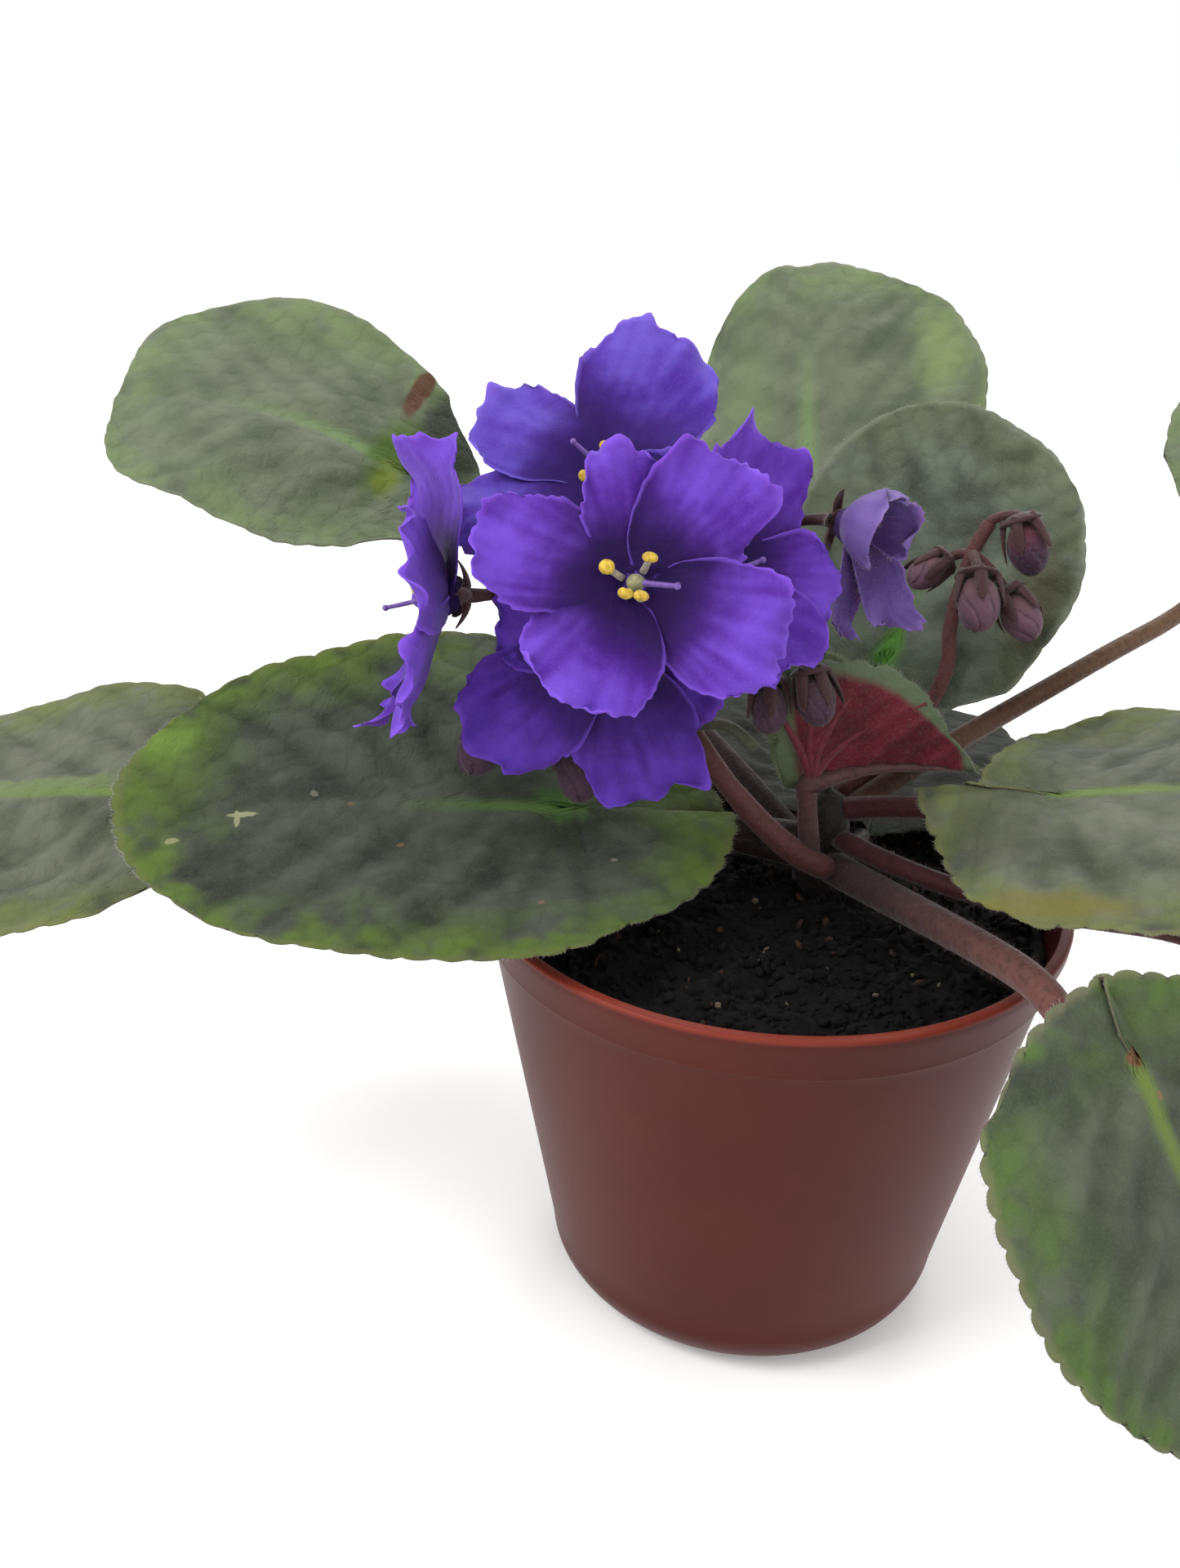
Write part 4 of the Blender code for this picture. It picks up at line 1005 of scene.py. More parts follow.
def add_leaf(leaf, index, hair):
    """One leaf: a quilted, toothed blade with its veins, its stalk, and the hairs on both."""
    draw = np.random.default_rng(100 + index)
    a, b = grid(leaf.cells, leaf.cells)
    along, across = blade_outline(leaf, a, b)
    reach = np.maximum(np.abs(a), np.abs(b))
    number, spacing = venation(leaf, along, across)
    side = np.abs(number - np.round(number)) * spacing
    net = net_distance(leaf, along, across, draw)
    valley = bell(side, VALLEY_WIDTH) * np.clip(np.abs(across) / 0.006, 0, 1) * (1 - reach ** 4)
    cushion = 1 - bell(net, 0.0017)
    wave = leaf.wave * reach ** 3 * np.sin(3 * np.arctan2(b, a) + math.radians(leaf.phase))
    spot = np.stack([along, across], -1)
    folds = FOLD_HEIGHT * ripple(spot, FOLD_SIZE, index)
    folds = folds + SMALL_FOLD_HEIGHT * ripple(spot, SMALL_FOLD_SIZE, index + 50)
    if leaf.look == "young":
        folds = folds * 0.35
    depth = SHALLOW_VALLEY if leaf.look in (*FAR, "young") else VALLEY_DEPTH
    calm = (1 - bell(across, 0.005)) * (1 - 0.5 * reach ** 2)
    lift = wave + folds * calm + CUSHION_HEIGHT * cushion - depth * valley
    near = 1 if unit(leaf.heading + 90, 0)[1] < 0 else -1
    back, facing_side = behind(leaf, along), near * np.sign(across)
    lift = lift + LOBE_LIFT * facing_side * (1 - np.exp(-back / BASE_BLEND)) * bell(across, 0.014)
    if leaf.name == "leaf_right":
        lift = lift + RAISED_LOBE * (facing_side > 0) * back ** 0.7 * bell(across, 0.012)
    top, out = blade_point(leaf, along, across, -lift)
    ribs = bell(side, 0.0007) * (1 - reach ** 4)
    thickness = BLADE * (1 - 0.5 * reach ** 6) + 0.0005 * ribs
    shape = Shape("number", "spacing", "net", "margin", "along", "across", "under", "share")
    millimetres = {"net": net, "spacing": spacing, "along": along, "across": across,
                   "margin": (1 - reach) * leaf.width / 2}
    rim, outward = sheet(shape, top, out, thickness, number=number,
                         **{key: value * 1000 for key, value in millimetres.items()})
    path, radii, shares = stalk_path(leaf)
    skin, away = tube(shape, path, radii, 14, kind=1, share=shares)
    if leaf.look == "young":
        for ahead, aside in YOUNG_VEINS:
            part = np.linspace(0, 1, 14)
            vein = blade_point(leaf, ahead * (0.5 * part + 0.5 * part ** 2), aside * part, BLADE + 0.0002)[0]
            tube(shape, vein, 0.0011 - 0.0007 * part, 8, kind=4, share=1 + 0 * part)
    dense = FAR_BLADE_HAIRS if leaf.look in (*FAR, "shade") else BLADE_HAIRS
    furred(shape, top, out, leaf.length * leaf.width * dense, BLADE_HAIR, draw, 2, lean=0.7)
    fringed(shape, rim, outward + out[0, 0] * 0.2, RIM_HAIRS * len(rim), SHORT_HAIR, draw, 3)
    span = np.linalg.norm(path[STALK_STEPS] - path[0])
    furred(shape, skin[:STALK_STEPS + 1], away[:STALK_STEPS + 1], span * STALK_HAIRS, LONG_HAIR, draw, 5,
           lean=0.25)
    stalk = stalk_skin(leaf.name + "_stalk_skin", *STALK_COLOURS.get(leaf.name, PLAIN_STALK))
    vein_skin = stalk_skin(leaf.name + "_vein_skin", (116, 52, 60), (118, 44, 56))
    shape.build(leaf.name, "leaf", (blade_skin(leaf), stalk, *hair[:2], vein_skin, hair[2]))


def petal_surface(bloom, petal, a, b):
    """Points of a petal's ruffled face in the bloom's own frame, and its shares along and across."""
    seed = int(petal.angle) + 400
    x, y = disc(a, b)
    share = (x + 1) / 2
    reach = np.maximum(np.abs(a), np.abs(b))
    spot = np.stack([x, y], -1)
    turn = np.arctan2(y, x + 1.15)
    ragged = 1 + reach ** 8 * (0.055 * ripple(spot, 0.38, seed) + 0.016 * ripple(spot, 0.10, seed + 1))
    hood = 100 if bloom.name == "bloom_opening" and petal.lift > 40 else -14 + 8 * math.sin(seed)
    first, bend = math.radians(petal.lift - hood / 2), math.radians(hood)
    tilt = first + bend * share
    size = (petal.length - PETAL_ROOT) * ragged / bend
    along, height = size * (np.sin(tilt) - math.sin(first)), size * (math.cos(first) - np.cos(tilt))
    across = petal.width / 2 * y * (0.62 + 0.38 * share) * ragged
    edge = reach ** 3 * share
    wave = np.sin(8.5 * b + petal.angle) + np.sin(5.5 * a * np.where(b > 0, 1, -1) + petal.angle)
    frill = np.sin(9.5 * turn + seed) * (0.7 + 0.5 * ripple(spot, 0.5, seed + 5))
    streak = ripple(np.stack([y / (0.5 + 0.5 * share), share * 0.25], -1), 0.13, seed + 2)
    covered = np.clip(-2 * y, 0, 1) * np.clip((0.85 - share) / 0.25, 0, 1)
    raised = 0.9 * edge * wave / 1.4 + 1.1 * reach ** 5 * share * frill
    raised = bloom.ruffle * raised * (1 - 0.85 * covered)
    raised = raised + (1.5 * PETAL_PINWHEEL * share + petal.twist) * across
    raised = raised + 0.0005 * (1 - covered) * edge * ripple(spot, 0.24, seed + 3)
    raised = raised + 0.00003 * streak * np.sqrt(share)
    plane = moved(spun(petal.angle, "Z"), np.stack([PETAL_ROOT + along, across, 0 * across], -1))
    raised = raised + PETAL_SWELL * ripple(plane[..., :2], SWELL_SIZE, len(bloom.name)) * share
    raised = raised + (0.9 if hood > 0 else 0.06) * across ** 2 / (petal.width / 2)
    along, height = PETAL_ROOT + along - raised * np.sin(tilt), height + raised * np.cos(tilt)
    points = np.stack([along, across, height], -1)
    return moved(spun(petal.angle, "Z"), points), share, reach, streak


def add_corolla(bloom, hair):
    """The ruffled petals round a short throat."""
    placing = facing(bloom)
    draw = np.random.default_rng(len(bloom.name) * 7)
    shape = Shape("share", "edge", "streak", "under")
    opening = bloom.name == "bloom_opening"
    low, high, radius = THROAT_TOP - THROAT_DEPTH, THROAT_TOP, THROAT_RADIUS
    profile = [(0, high - 0.0007), (radius * 0.5, high - 0.0005), (radius * 0.8, high),
               (radius, high - 0.0003), (radius * 0.86, (low + high) / 2), (radius * 0.7, low + 0.0002),
               (0, low)]
    turned(shape, placing, profile, 28)
    for petal in bloom.petals:
        size = 41 if bloom.name == "bloom_front" else 31 if petal.length > 0.015 else 23
        a, b = grid(size, size)
        points, share, reach, streak = petal_surface(bloom, petal, a, b)
        top = moved(placing, points)
        out = facing_out(top)
        thickness = PETAL_THICKNESS * (1 - 0.5 * reach ** 6)
        rim, outward = sheet(shape, top, out, thickness, share=share, edge=reach, streak=streak)
        if opening:
            furred(shape, top, -out, 320, 0.0009, draw)
            fringed(shape, rim, outward, 160, SHORT_HAIR, draw)
    shape.build(bloom.name, "petal_pale" if opening else "petal", (PETALS.get(bloom.name, OPEN), hair))


def add_pistil(bloom, skin, style_skin, hair):
    """The downy ovary in the throat and the style that leans from it to its stigma."""
    placing = facing(bloom)
    draw = np.random.default_rng(int(bloom.style) + 500)
    lean = unit(bloom.style, bloom.style_rise)
    foot = np.array((0, 0, THROAT_TOP + GAP + OVARY_RADIUS))
    shape = Shape("share")
    balls, out = lump(shape, placing @ shifted(*foot), (OVARY_RADIUS,) * 3, 24, 14,
                      lambda turn, height: 1 + 0.04 * np.cos(2 * turn) * (1 - height ** 2))
    furred(shape, balls, out, 160, 0.0004, draw, 2, radius=0.00002)
    reach = np.linspace(0.0006, STYLE_REACH, 12)
    bow = 45 if bloom.name == "bloom_left" else 8
    path = moved(placing, foot + lean * reach[:, None] + UP * bow * (reach ** 2)[:, None])
    tube(shape, path, STYLE_RADIUS * (1.15 - 0.3 * np.linspace(0, 1, 12)), 10, kind=1,
         share=np.linspace(0, 1, 12))
    lump(shape, shifted(*path[-1]), (STYLE_RADIUS * 1.3,) * 3, 12, 8, kind=1, share=1)
    shape.build(bloom.name + "_pistil", "ovary", (skin, style_skin, hair))


def add_stamens(bloom, skin, filament_skin):
    """The anthers, a joined pair in front of the ovary and two single ones, on pale filaments."""
    placing = facing(bloom) @ spun(bloom.style, "Z")
    level = THROAT_TOP + GAP + FILAMENT_RADIUS
    shape = Shape("share")
    for x, y, height in ANTHERS:
        top = np.array((x, y, height))
        foot = normalised(np.array((x, y, 0.0))) * STAMEN_RING + np.array((0, 0, level - 0.0006))
        path = smoothed([foot, foot * 0.5 + top * 0.5 + (x * 0.12, y * 0.12, 0.0003), top], 6)
        tube(shape, moved(placing, path), np.linspace(0.00055, 0.00042, len(path)), 10, kind=1)

        def lobes(turn, height):
            cleft = 0.22 * bell(np.cos(turn), 0.35) * (height > -0.2)
            return 1 - cleft + 0.05 * np.cos(2 * turn)

        seat = placing @ shifted(*top) @ spun(18 * x / 0.001, "X")
        size = ANTHER_RADIUS * 0.85
        lump(shape, seat, (size, size * 0.75, size * 0.95), 22, 14, lobes)
    shape.build(bloom.name + "_stamens", "anther", (skin, filament_skin))


def bud_fold(turn, height):
    """How far a spot of a bud is towards the edge of the petal that it lies on, from 0 to 1."""
    return (5 * (turn + 0.9 * height) / (2 * math.pi)) % 1


def add_bud(bud, skin, hair):
    """One closed bud, whose petals wrap round each other."""
    placing = facing(bud)
    draw = np.random.default_rng(int(bud.size * 1e6) + int(bud.azimuth) + 360)

    def wrapped(turn, height):
        step = 0.10 * bud_fold(turn, height) ** 3 * np.clip(height + 0.7, 0, 1)
        return 1 - step + 0.02 * np.sin(3 * turn + 2 * height)

    shape = Shape("share", "fold")
    sides, rings = 50, 26
    turn = round_turn(sides)
    height = np.cos(np.linspace(0, math.pi, rings + 1)[1:-1, None])
    fold = bud_fold(turn, height).ravel()
    share = (height / 2 + 0.5 + 0 * turn).ravel()
    sizes = (bud.size * BUD_WIDTH, bud.size * BUD_WIDTH, bud.size)
    balls, out = lump(shape, placing, sizes, sides, rings, wrapped,
                      share=np.concatenate([share, (1, 0)]), fold=np.concatenate([fold, (0, 0)]))
    furred(shape, balls, out, 700, 0.0007, draw)
    shape.build(bud.name, "bud", (skin, hair))


def calyx(shape, placing, spread, radius, length, draw):
    """A small cup with five pointed, slightly bent sepals that lean out by that angle."""
    turned(shape, placing, [(0, 0), (radius * 0.8, 0), (radius, -0.0002), (radius * 0.9, -0.0008),
                            (radius * 0.5, -CUP_DEPTH), (0, -CUP_DEPTH - 0.0003)], 24, share=1.0)
    for index in range(5):
        a, b = grid(15, 9)
        t = (a + 1) / 2
        wide = SEPAL_WIDTH / 2 * (1.02 - t) ** 0.6 * (0.75 + 0.9 * t)
        reach = length * draw.uniform(0.85, 1.0)
        x = 0.0003 - 0.0009 * b * b * (1 - t) - 0.0016 * t * t + 0.0003 * draw.normal() * t
        points = np.stack([x, -b * wide, reach * t], -1)
        seat = (placing @ spun(72 * index + 20, "Z") @ shifted(radius - 0.0008, 0, -0.0012)
                @ spun(spread, "Y"))
        top = moved(seat, points)
        out = facing_out(top)
        rim, outward = sheet(shape, top, out, 0.0005 * (1 - 0.6 * t ** 2), share=1.0)
        furred(shape, top, out, 60, SHORT_HAIR, draw)
        fringed(shape, rim, outward, 70, SHORT_HAIR, draw)


def heads(shape, start, blooms, buds, draw):
    """Pedicels and calyces of those blooms and buds, from where they leave the stalk."""
    seats = []
    for bloom in blooms:
        seat = facing(bloom) @ shifted(0, 0, THROAT_TOP - THROAT_DEPTH - GAP / 2)
        seats.append((seat, 82, 0.0022, BLOOM_SEPAL, 0.4))
    for bud in buds:
        seat = facing(bud) @ shifted(0, 0, -bud.size * 0.96)
        seats.append((seat, 22, bud.size * 0.8, BUD_SEPAL, 0.22))
    for seat, spread, radius, sepal, bow in seats:
        ahead = seat[:3, 2]
        end = seat[:3, 3] - ahead * 0.001
        span = np.linalg.norm(end - start)
        away = (end - start) * 0.15 + UP * span * bow
        path = arc_between(start, away, end, ahead * span * bow * 0.6, 22)
        swelling = 1 + 0.35 * bell(np.linspace(0, 1, 23) - 1, 0.08)
        skin, out = tube(shape, path, PEDICEL_RADIUS * 0.9 * swelling, 12, share=np.linspace(0.3, 1, 23))
        furred(shape, skin, out, span * PEDICEL_HAIRS, 0.0009, draw)
        calyx(shape, seat, spread, radius, sepal, draw)


def blunted(path, radii):
    """The same stalk with a round cap on its first end."""
    turn = np.radians((84, 66, 45, 22))[:, None]
    back = normalised(path[0] - path[1])
    cap = path[0] + back * radii[0] * np.sin(turn)
    return np.concatenate([cap, path]), np.concatenate([radii[0] * np.cos(turn[:, 0]), radii])


def downy_stalk(shape, path, radii, draw, kind=0):
    """A thicker stalk with its hairs."""
    skin, out = tube(shape, path, radii, 18, kind, share=np.linspace(0, 0.4, len(path)))
    reach = np.linalg.norm(np.diff(path, axis=0), axis=1).sum()
    furred(shape, skin, out, reach * STEM_HAIRS, LONG_HAIR, draw, lean=0.25)


def add_main_stalk(skin, hair, stub_skin):
    """The stalk of the full cluster, with the calyx of each bloom and bud, and the cut stub."""
    draw = np.random.default_rng(21)
    shape = Shape("share")
    start = CROWN_CENTRE + unit(272, 0) * (CROWN_RADIUS + PEDUNCLE_RADIUS) + UP * 0.0862
    path = arc_between(start, unit(184, 15) * 0.010, MAIN_FORK, unit(180, 70) * 0.015, 28)
    radii = np.linspace(PEDUNCLE_RADIUS, PEDUNCLE_RADIUS - 0.0005, 29) * (1 + 0.05 * ripple(path, 0.006, 3))
    downy_stalk(shape, *blunted(path, radii * 1.08), draw)
    stub = smoothed([path[20], *STUB], 6)
    downy_stalk(shape, stub, np.linspace(STUB_RADIUS, STUB_RADIUS * 1.15, len(stub)), draw, kind=2)
    heads(shape, path[-1], BLOOMS, MAIN_BUDS, draw)
    shape.build("flower_stalk_main", "stem", (skin, hair, stub_skin))


def add_right_stalk(skin, hair):
    """The thinner stalk on the right, which arches over and carries buds."""
    draw = np.random.default_rng(22)
    shape = Shape("share")
    radius = PEDICEL_RADIUS * 1.4
    start = CROWN_CENTRE + unit(60, 0) * (CROWN_RADIUS - 0.001) + UP * 0.0955
    path = smoothed([start, *RIGHT_STALK], 6)
    downy_stalk(shape, path, np.linspace(radius, radius * 0.9, len(path)), draw)
    heads(shape, path[-1], (), RIGHT_BUDS[:1], draw)
    heads(shape, path[-7], (), RIGHT_BUDS[1:], draw)
    shape.build("flower_stalk_right", "stem", (skin, hair))


def wall_radius(height):
    """Outer radius of the pot's tapered wall at that height, collar left out."""
    taper = (POT_TOP_RADIUS - COLLAR_STEP - POT_BASE_RADIUS) / (POT_HEIGHT - POT_CORNER)
    return POT_BASE_RADIUS + taper * (height - POT_CORNER)


def soil_radius(height):
    """Radius of the potting mix at that height."""
    return wall_radius(height) - POT_WALL - GAP


def fillet(centre, radius, first, last, steps):
    """Points on an arc of the profile."""
    turn = np.radians(np.linspace(first, last, steps))
    return np.stack([centre[0] + radius * np.cos(turn), centre[1] + radius * np.sin(turn)], 1)


def add_pot(skin):
    """The pot: a tapered wall, a collar that steps out round the top, and a floor with drain holes."""
    foot = POT_HEIGHT - COLLAR_HEIGHT
    corner = (POT_BASE_RADIUS - POT_CORNER, POT_CORNER)
    inside = POT_CORNER - POT_WALL
    inner_top = wall_radius(POT_HEIGHT) - POT_WALL
    profile = np.concatenate([
        [(0.0, POT_FLOOR)],
        fillet((corner[0], POT_FLOOR + inside), inside, 270, 360, 9),
        [(inner_top - 0.0002, POT_HEIGHT - 0.0014)],
        fillet((inner_top + LIP_ROUND, POT_HEIGHT - LIP_ROUND), LIP_ROUND, 180, 90, 6),
        fillet((POT_TOP_RADIUS - LIP_ROUND, POT_HEIGHT - LIP_ROUND), LIP_ROUND, 90, 0, 6),
        [(POT_TOP_RADIUS - 0.0002, POT_HEIGHT - 0.0025), (wall_radius(foot) + COLLAR_STEP, foot + 0.0016)],
        fillet((wall_radius(foot) + COLLAR_STEP - 0.0004, foot + 0.0006), 0.0004, 0, -80, 5),
        [(wall_radius(foot) + 0.00015, foot + 0.0001), (wall_radius(foot - 0.0006), foot - 0.0006),
         (wall_radius(foot - 0.002), foot - 0.002), (wall_radius(POT_CORNER + 0.004), POT_CORNER + 0.004)],
        fillet(corner, POT_CORNER, 360, 270, 17),
        [(0.0, 0.0)],
    ])
    shape = Shape()
    turned(shape, np.eye(4), profile, 160)
    pot = shape.build("pot", "pot_plastic", (skin,))
    cutter = bmesh.new()
    for index in range(DRAIN_HOLES):
        spot = unit(360 * index / DRAIN_HOLES, 0) * DRAIN_RING_RADIUS
        bmesh.ops.create_cone(cutter, cap_ends=True, segments=32, radius1=DRAIN_HOLE_RADIUS,
                              radius2=DRAIN_HOLE_RADIUS, depth=0.01, matrix=Matrix.Translation(spot))
    holes = placed("drain_holes", bpy.data.meshes.new("drain_holes"))
    cutter.to_mesh(holes.data)
    cutter.free()
    cut = pot.modifiers.new("holes", "BOOLEAN")
    cut.operation = "DIFFERENCE"
    cut.solver = "EXACT"
    cut.object = holes
    bpy.context.view_layer.update()
    graph = bpy.context.evaluated_depsgraph_get()
    mesh = bpy.data.meshes.new_from_object(pot.evaluated_get(graph))
    pot.modifiers.clear()
    pot.data = mesh
    mesh.set_sharp_from_angle(angle=math.radians(35))
    bpy.data.objects.remove(holes)


def soil_height(x, y):
    """Height of the potting mix there."""
    edge = soil_radius(SOIL_TOP)
    reach = np.hypot(x, y)
    lump = np.sin(310 * x + 1.1) * np.cos(270 * y) + np.sin(590 * (x - y) + 0.4)
    spot = np.stack([x, y], -1)
    height = SOIL_TOP + SOIL_SWELL * (1 - reach / edge) + 0.0008 * lump / 2
    height = height + 0.0006 * ripple(spot, 0.0045, 5) + 0.0003 * ripple(spot, 0.0016, 6)
    return height - 0.0015 * np.clip((reach - edge + 0.0012) / 0.0012, 0, 1) ** 2


def crumbs(shape, x, y, sizes, draw, kind, flat):
    """Adds angular crumbs that lie on the potting mix."""
    ball = bmesh.new()
    bmesh.ops.create_icosphere(ball, subdivisions=1, radius=1.0)
    corners = np.array([vertex.co for vertex in ball.verts])
    faces = np.array([[vertex.index for vertex in face.verts] for face in ball.faces])
    ball.free()
    count = len(x)
    rough = draw.uniform(0.62, 1.15, (count, len(corners), 1))
    axes = np.linalg.qr(draw.normal(size=(count, 3, 3)))[0]
    stretch = np.array((1.0, 0.75, flat * 0.6)) * draw.uniform(0.75, 1.25, (count, 1, 3))
    points = np.einsum("nij,nkj->nki", axes, corners * rough * stretch) * sizes[:, None, None]
    seat = np.stack([x, y, soil_height(x, y) + sizes * 0.25], -1)
    points = points + seat[:, None]
    shape.add(points, faces[None] + len(corners) * np.arange(count)[:, None, None], kind)


def add_soil(skins):
    """The potting mix: a dark filling with a lumpy top, and crumbs, bark and grit on it."""
    draw = np.random.default_rng(31)
    edge = soil_radius(SOIL_TOP)
    corner = POT_CORNER + 0.001
    rings = np.linspace(0.0005, edge, 76)
    low = POT_FLOOR + GAP * 2
    profile = np.concatenate([
        [(0, SOIL_TOP + SOIL_SWELL)], np.stack([rings, np.full(76, SOIL_TOP)], 1),
        [(soil_radius(SOIL_TOP - 0.004), SOIL_TOP - 0.004), (soil_radius(corner), corner),
         (POT_BASE_RADIUS - POT_CORNER, low), (0, low)]])

    def lumpy(skin):
        top = skin[..., 2] > SOIL_TOP - 0.001
        skin[..., 2] = np.where(top, soil_height(skin[..., 0], skin[..., 1]), skin[..., 2])
        return skin

    shape = Shape()
    turned(shape, np.eye(4), profile, 190, form=lumpy)
    for count, least, most, kind, flat in CRUMBS:
        reach = (edge - 0.0018) * np.sqrt(draw.uniform(0.0, 1, count))
        turn = draw.uniform(0, 2 * math.pi, count)
        sizes = draw.uniform(least, most, count)
        crumbs(shape, reach * np.cos(turn), reach * np.sin(turn), sizes, draw, kind, flat)
    shape.build("soil", "potting_mix", skins)


def add_crown(skin, hair):
    """The short stem in the middle, ringed by the scars of old leaves."""
    draw = np.random.default_rng(41)
    height = CROWN_TOP - CROWN_FOOT
    rings = np.linspace(height - 0.0045, 0, 60)
    profile = np.concatenate([
        [(0.0, height)], [(0.0012, height), (0.0025, height - 0.0004), (0.0047, height - 0.0016)],
        np.stack([np.full(60, CROWN_RADIUS), rings], 1), [(0.0, 0.0)]])

    def scarred(skin):
        x, y, z = skin[..., 0], skin[..., 1], skin[..., 2]
        ring = np.sin(z / 0.0011 + 1.5 * np.sin(2 * np.arctan2(y, x)))
        swell = 0.82 + 0.035 * ring + 0.05 * ripple(skin, 0.004, 8)
        return np.stack([x * swell, y * swell, z - 0.0015], -1)

    shape = Shape("share")
    placing = shifted(*CROWN_CENTRE[:2], CROWN_FOOT)
    rows = turned(shape, placing, profile, 56, form=scarred, share=0.2)
    out = normalised(rows * (1, 1, 0))
    furred(shape, moved(placing, rows), out, 900, 0.0011, draw, rows=(0.0, 0.5))
    shape.build("crown", "stem", (skin, hair))


def pot_skin():
    """Satin red-brown plastic with faint clouds, scuffs and dust, and a painted highlight along the top of
    the lip.
    """
    paint = Paint("pot_skin", Roughness=0.42, Specular_IOR_Level=0.13)
    clouds = paint.noise(22, 4)
    colour = paint.mix(clouds.step(0.3, 0.7), (84, 31, 24), (90, 35, 27))
    colour = paint.mix(paint.noise(1.3, 5, 0.7).step(0.58, 0.78) * 0.05, colour, (140, 100, 88))
    parts = paint.nodes.new("ShaderNodeSeparateXYZ")
    paint.feed(parts.inputs[0], paint.place)
    height = Value(paint, parts.outputs[2])
    # Painted highlight: the top of the lip is lighter and redder.
    colour = paint.mix(height.step(POT_HEIGHT - 0.0012, POT_HEIGHT - 0.0002), colour, (138, 56, 42))
    paint.feed(paint.shader.inputs["Roughness"], clouds * 0.10 + 0.36)
    paint.bump((paint.noise(1.0, 4, 0.6), 0.02), (paint.noise(14, 2), 0.06))
    return paint.done(colour)


def grain_skin(name, dark, light, size):
    """A rough, grainy stuff of two tones."""
    paint = Paint(name, Roughness=0.9, Specular_IOR_Level=0.2)
    colour = paint.mix(paint.noise(size, 5, 0.7).step(0.35, 0.7), dark, light)
    paint.bump((paint.noise(size * 0.4, 5, 0.7), 0.3))
    return paint.done(colour)


def bud_skin(name, low, high):
    """A closed bud: one colour at its foot, another at its tip, with painted shade in the folds between its
    petals.
    """
    paint = Paint(name, Roughness=0.6, Sheen_Weight=0.12, Sheen_Roughness=0.5, Specular_IOR_Level=0.15)
    share = paint.value("share") + paint.noise(2) * 0.3
    colour = paint.mix(share.step(0.25, 0.95), low, high)
    # Painted shade: darker in the folds where one petal wraps over the next.
    colour = paint.mix(paint.value("fold").step(0.75, 1.0) * 0.6, colour, (34, 24, 36))
    colour = paint.mix(paint.noise(0.6, 3).step(0.5, 0.7) * 0.2, colour, (126, 108, 124))
    paint.bump((paint.noise(0.6, 4), 0.15))
    return paint.done(colour)


def soft_skin(name, first, second, size):
    """A smooth, slightly translucent surface of two tones."""
    paint = Paint(name, Roughness=0.55, Sheen_Weight=0.2, Subsurface_Weight=0.1, Subsurface_Scale=0.001)
    colour = paint.mix(paint.noise(size, 3).step(0.35, 0.7), first, second)
    paint.bump((paint.noise(size * 0.5, 4, 0.7), 0.08))
    return paint.done(colour)


def floor_skin():
    """A matt, nearly white table."""
    paint = Paint("floor_skin", Roughness=0.8, Specular_IOR_Level=0.15, Emission_Color=(1, 1, 1, 1),
                  Emission_Strength=0.1)
    shade = paint.noise(60, 2).step(0.2, 0.8)
    return paint.done(paint.mix(shade, (0.94, 0.94, 0.935, 1), (0.97, 0.97, 0.965, 1), screen=False))


def add_stage():
    """The floor and the soft light."""
    bpy.ops.mesh.primitive_plane_add(size=8)
    floor = bpy.context.object
    floor.name = "floor"
    floor.data.materials.append(floor_skin())
    floor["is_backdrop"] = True
    scene = bpy.context.scene
    scene.world = bpy.data.worlds.new("studio")
    scene.world.use_nodes = True
    background = scene.world.node_tree.nodes["Background"]
    background.inputs["Color"].default_value = (1, 1, 1, 1)
    background.inputs["Strength"].default_value = 1.0
    for name, place, energy in LIGHTS:
        lamp = bpy.data.lights.new(name, "AREA")
        lamp.shape = "SQUARE"
        lamp.size = LIGHT_SIZE
        lamp.energy = energy
        ahead = LIGHT_AIM - Vector(place)
        placed(name, lamp, Matrix.Translation(place) @ ahead.to_track_quat("-Z", "Y").to_matrix().to_4x4())
    scene.view_settings.view_transform = "Standard"


def add_camera():
    """The camera, where the photograph was taken from."""
    lens = bpy.data.cameras.new("camera")
    lens.sensor_width = 36
    lens.lens = CAMERA_LENS
    lens.clip_start = 0.01
    place = Matrix.Translation(CAMERA_PLACE) @ Matrix(CAMERA_AXES).transposed().to_4x4()
    bpy.context.scene.camera = placed("camera", lens, place)


add_camera()
HAIR = hair_skin("hair_skin", (188, 186, 172))
LEAF_HAIR = hair_skin("leaf_hair_skin", (132, 140, 116))
OPEN = petal_skin("petal_skin", (36, 6, 76), (84, 32, 156), (120, 78, 212))
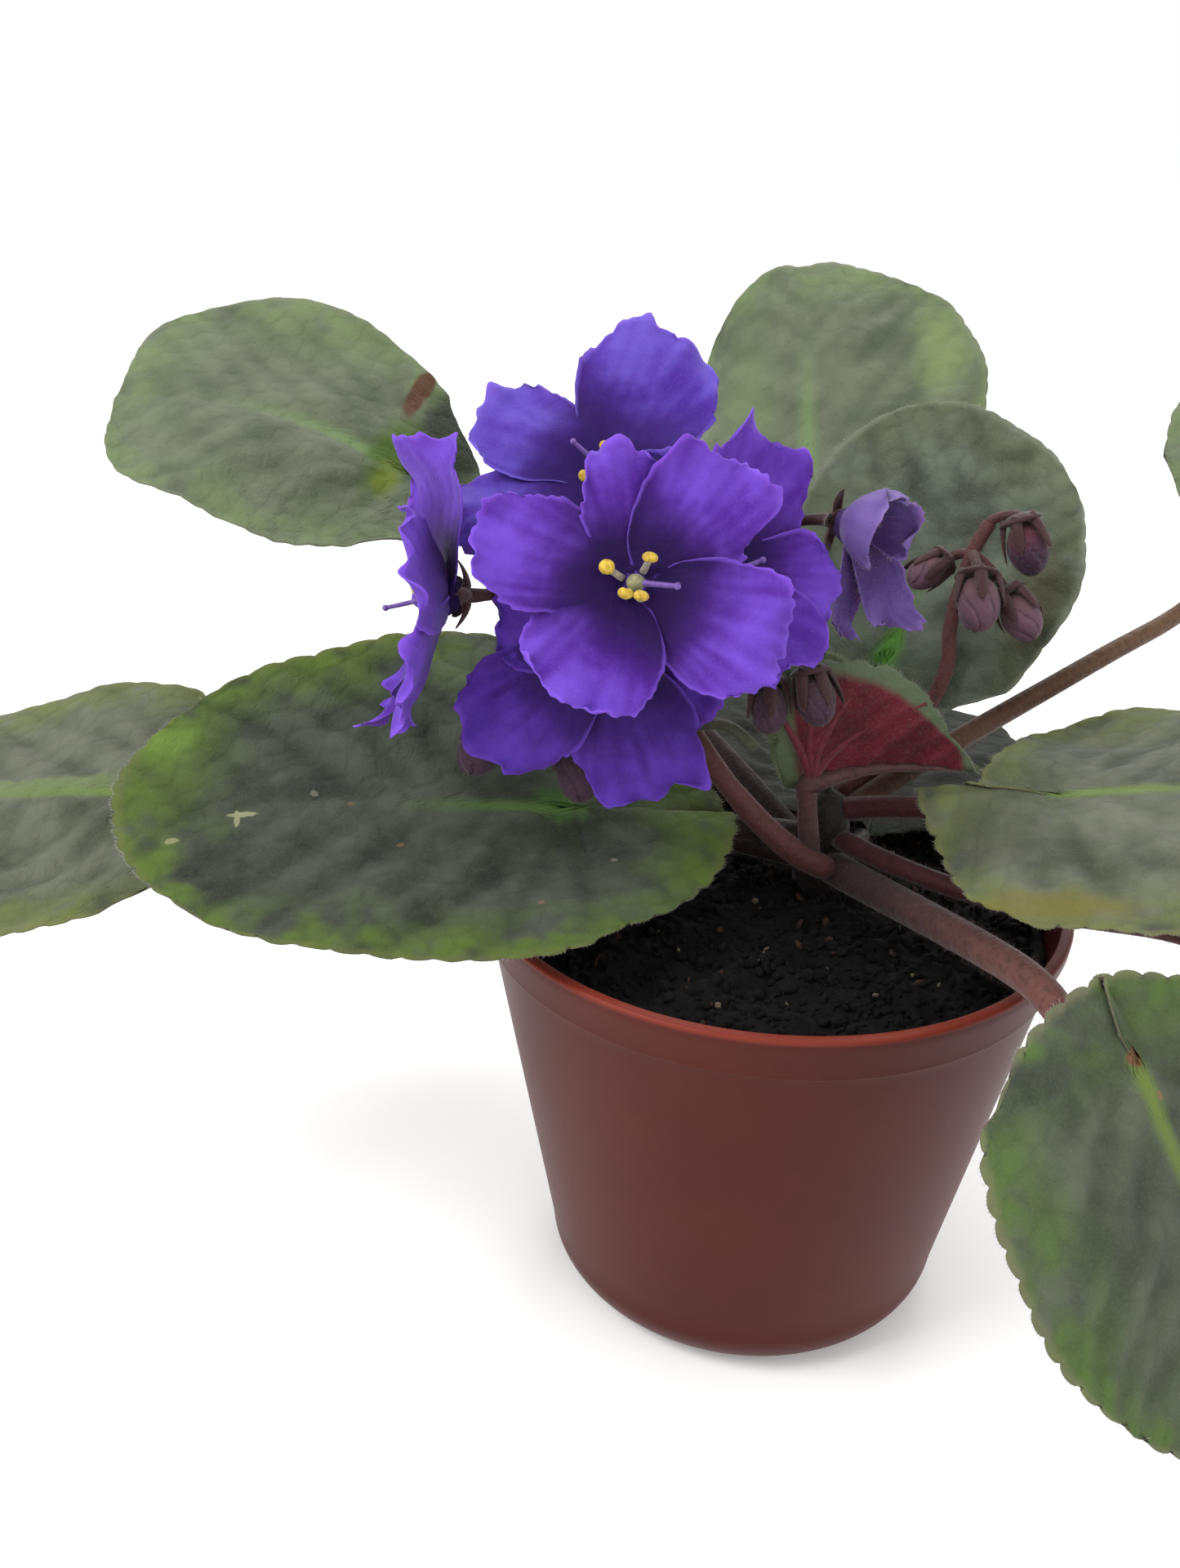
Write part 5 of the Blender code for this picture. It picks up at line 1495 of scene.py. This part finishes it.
# Painted shade: bloom_low's petals get darker colours, for it hangs in shadow under the other blooms.
PETALS = {"bloom_low": petal_skin("petal_low_skin", (34, 8, 70), (66, 28, 128), (98, 60, 184)),
          "bloom_back": petal_skin("petal_back_skin", (44, 14, 96), (80, 44, 166), (114, 92, 210)),
          "bloom_opening": petal_skin("petal_pale_skin", (66, 44, 100), (84, 62, 132), (122, 98, 170))}
BUD = bud_skin("bud_skin", (66, 48, 52), (76, 52, 70))
FAR_BUD = bud_skin("bud_far_skin", (104, 74, 78), (110, 78, 94))
DOWN = hair_skin("down_skin", (124, 90, 82))
OVARY = soft_skin("ovary_skin", (128, 128, 84), (176, 172, 124), 1.2)
STYLE = soft_skin("style_skin", (104, 64, 160), (140, 100, 190), 1.5)
FILAMENT = soft_skin("filament_skin", (160, 148, 140), (196, 184, 150), 1.0)
ANTHER = soft_skin("anther_skin", (200, 160, 20), (240, 206, 50), 0.7)
STEM = stalk_skin("stem_skin", (100, 56, 52), (66, 36, 38))
CROWN = stalk_skin("crown_skin", (28, 20, 18), (42, 30, 26))
SOILS = (grain_skin("mix_skin", (7, 6, 6), (22, 19, 18), 1.2),
         grain_skin("bark_skin", (46, 32, 24), (88, 62, 46), 1.0),
         grain_skin("grit_skin", (92, 80, 66), (150, 136, 114), 0.8))

add_pot(pot_skin())
add_soil(SOILS)
add_crown(CROWN, hair_skin("crown_hair_skin", (64, 48, 42)))
for number, leaf in enumerate(LEAVES):
    add_leaf(leaf, number, (LEAF_HAIR, HAIR, DOWN))
for bloom in BLOOMS:
    add_corolla(bloom, HAIR)
for bloom in BLOOMS[:-1]:
    add_pistil(bloom, OVARY, STYLE, HAIR)
    add_stamens(bloom, ANTHER, FILAMENT)
WINE_BUD = bud_skin("bud_wine_skin", (92, 44, 58), (60, 36, 58))
for bud in MAIN_BUDS:
    add_bud(bud, BUD, DOWN)
for bud in RIGHT_BUDS:
    add_bud(bud, WINE_BUD if bud.name == "bud_right_1" else FAR_BUD, DOWN)
add_main_stalk(STEM, DOWN, stalk_skin("stub_skin", (84, 84, 66), (104, 112, 84)))
add_right_stalk(STEM, DOWN)
add_stage()

sizes = {"cad": [list(corner) for corner in CAD_BOX], "visual": [list(corner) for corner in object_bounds()]}
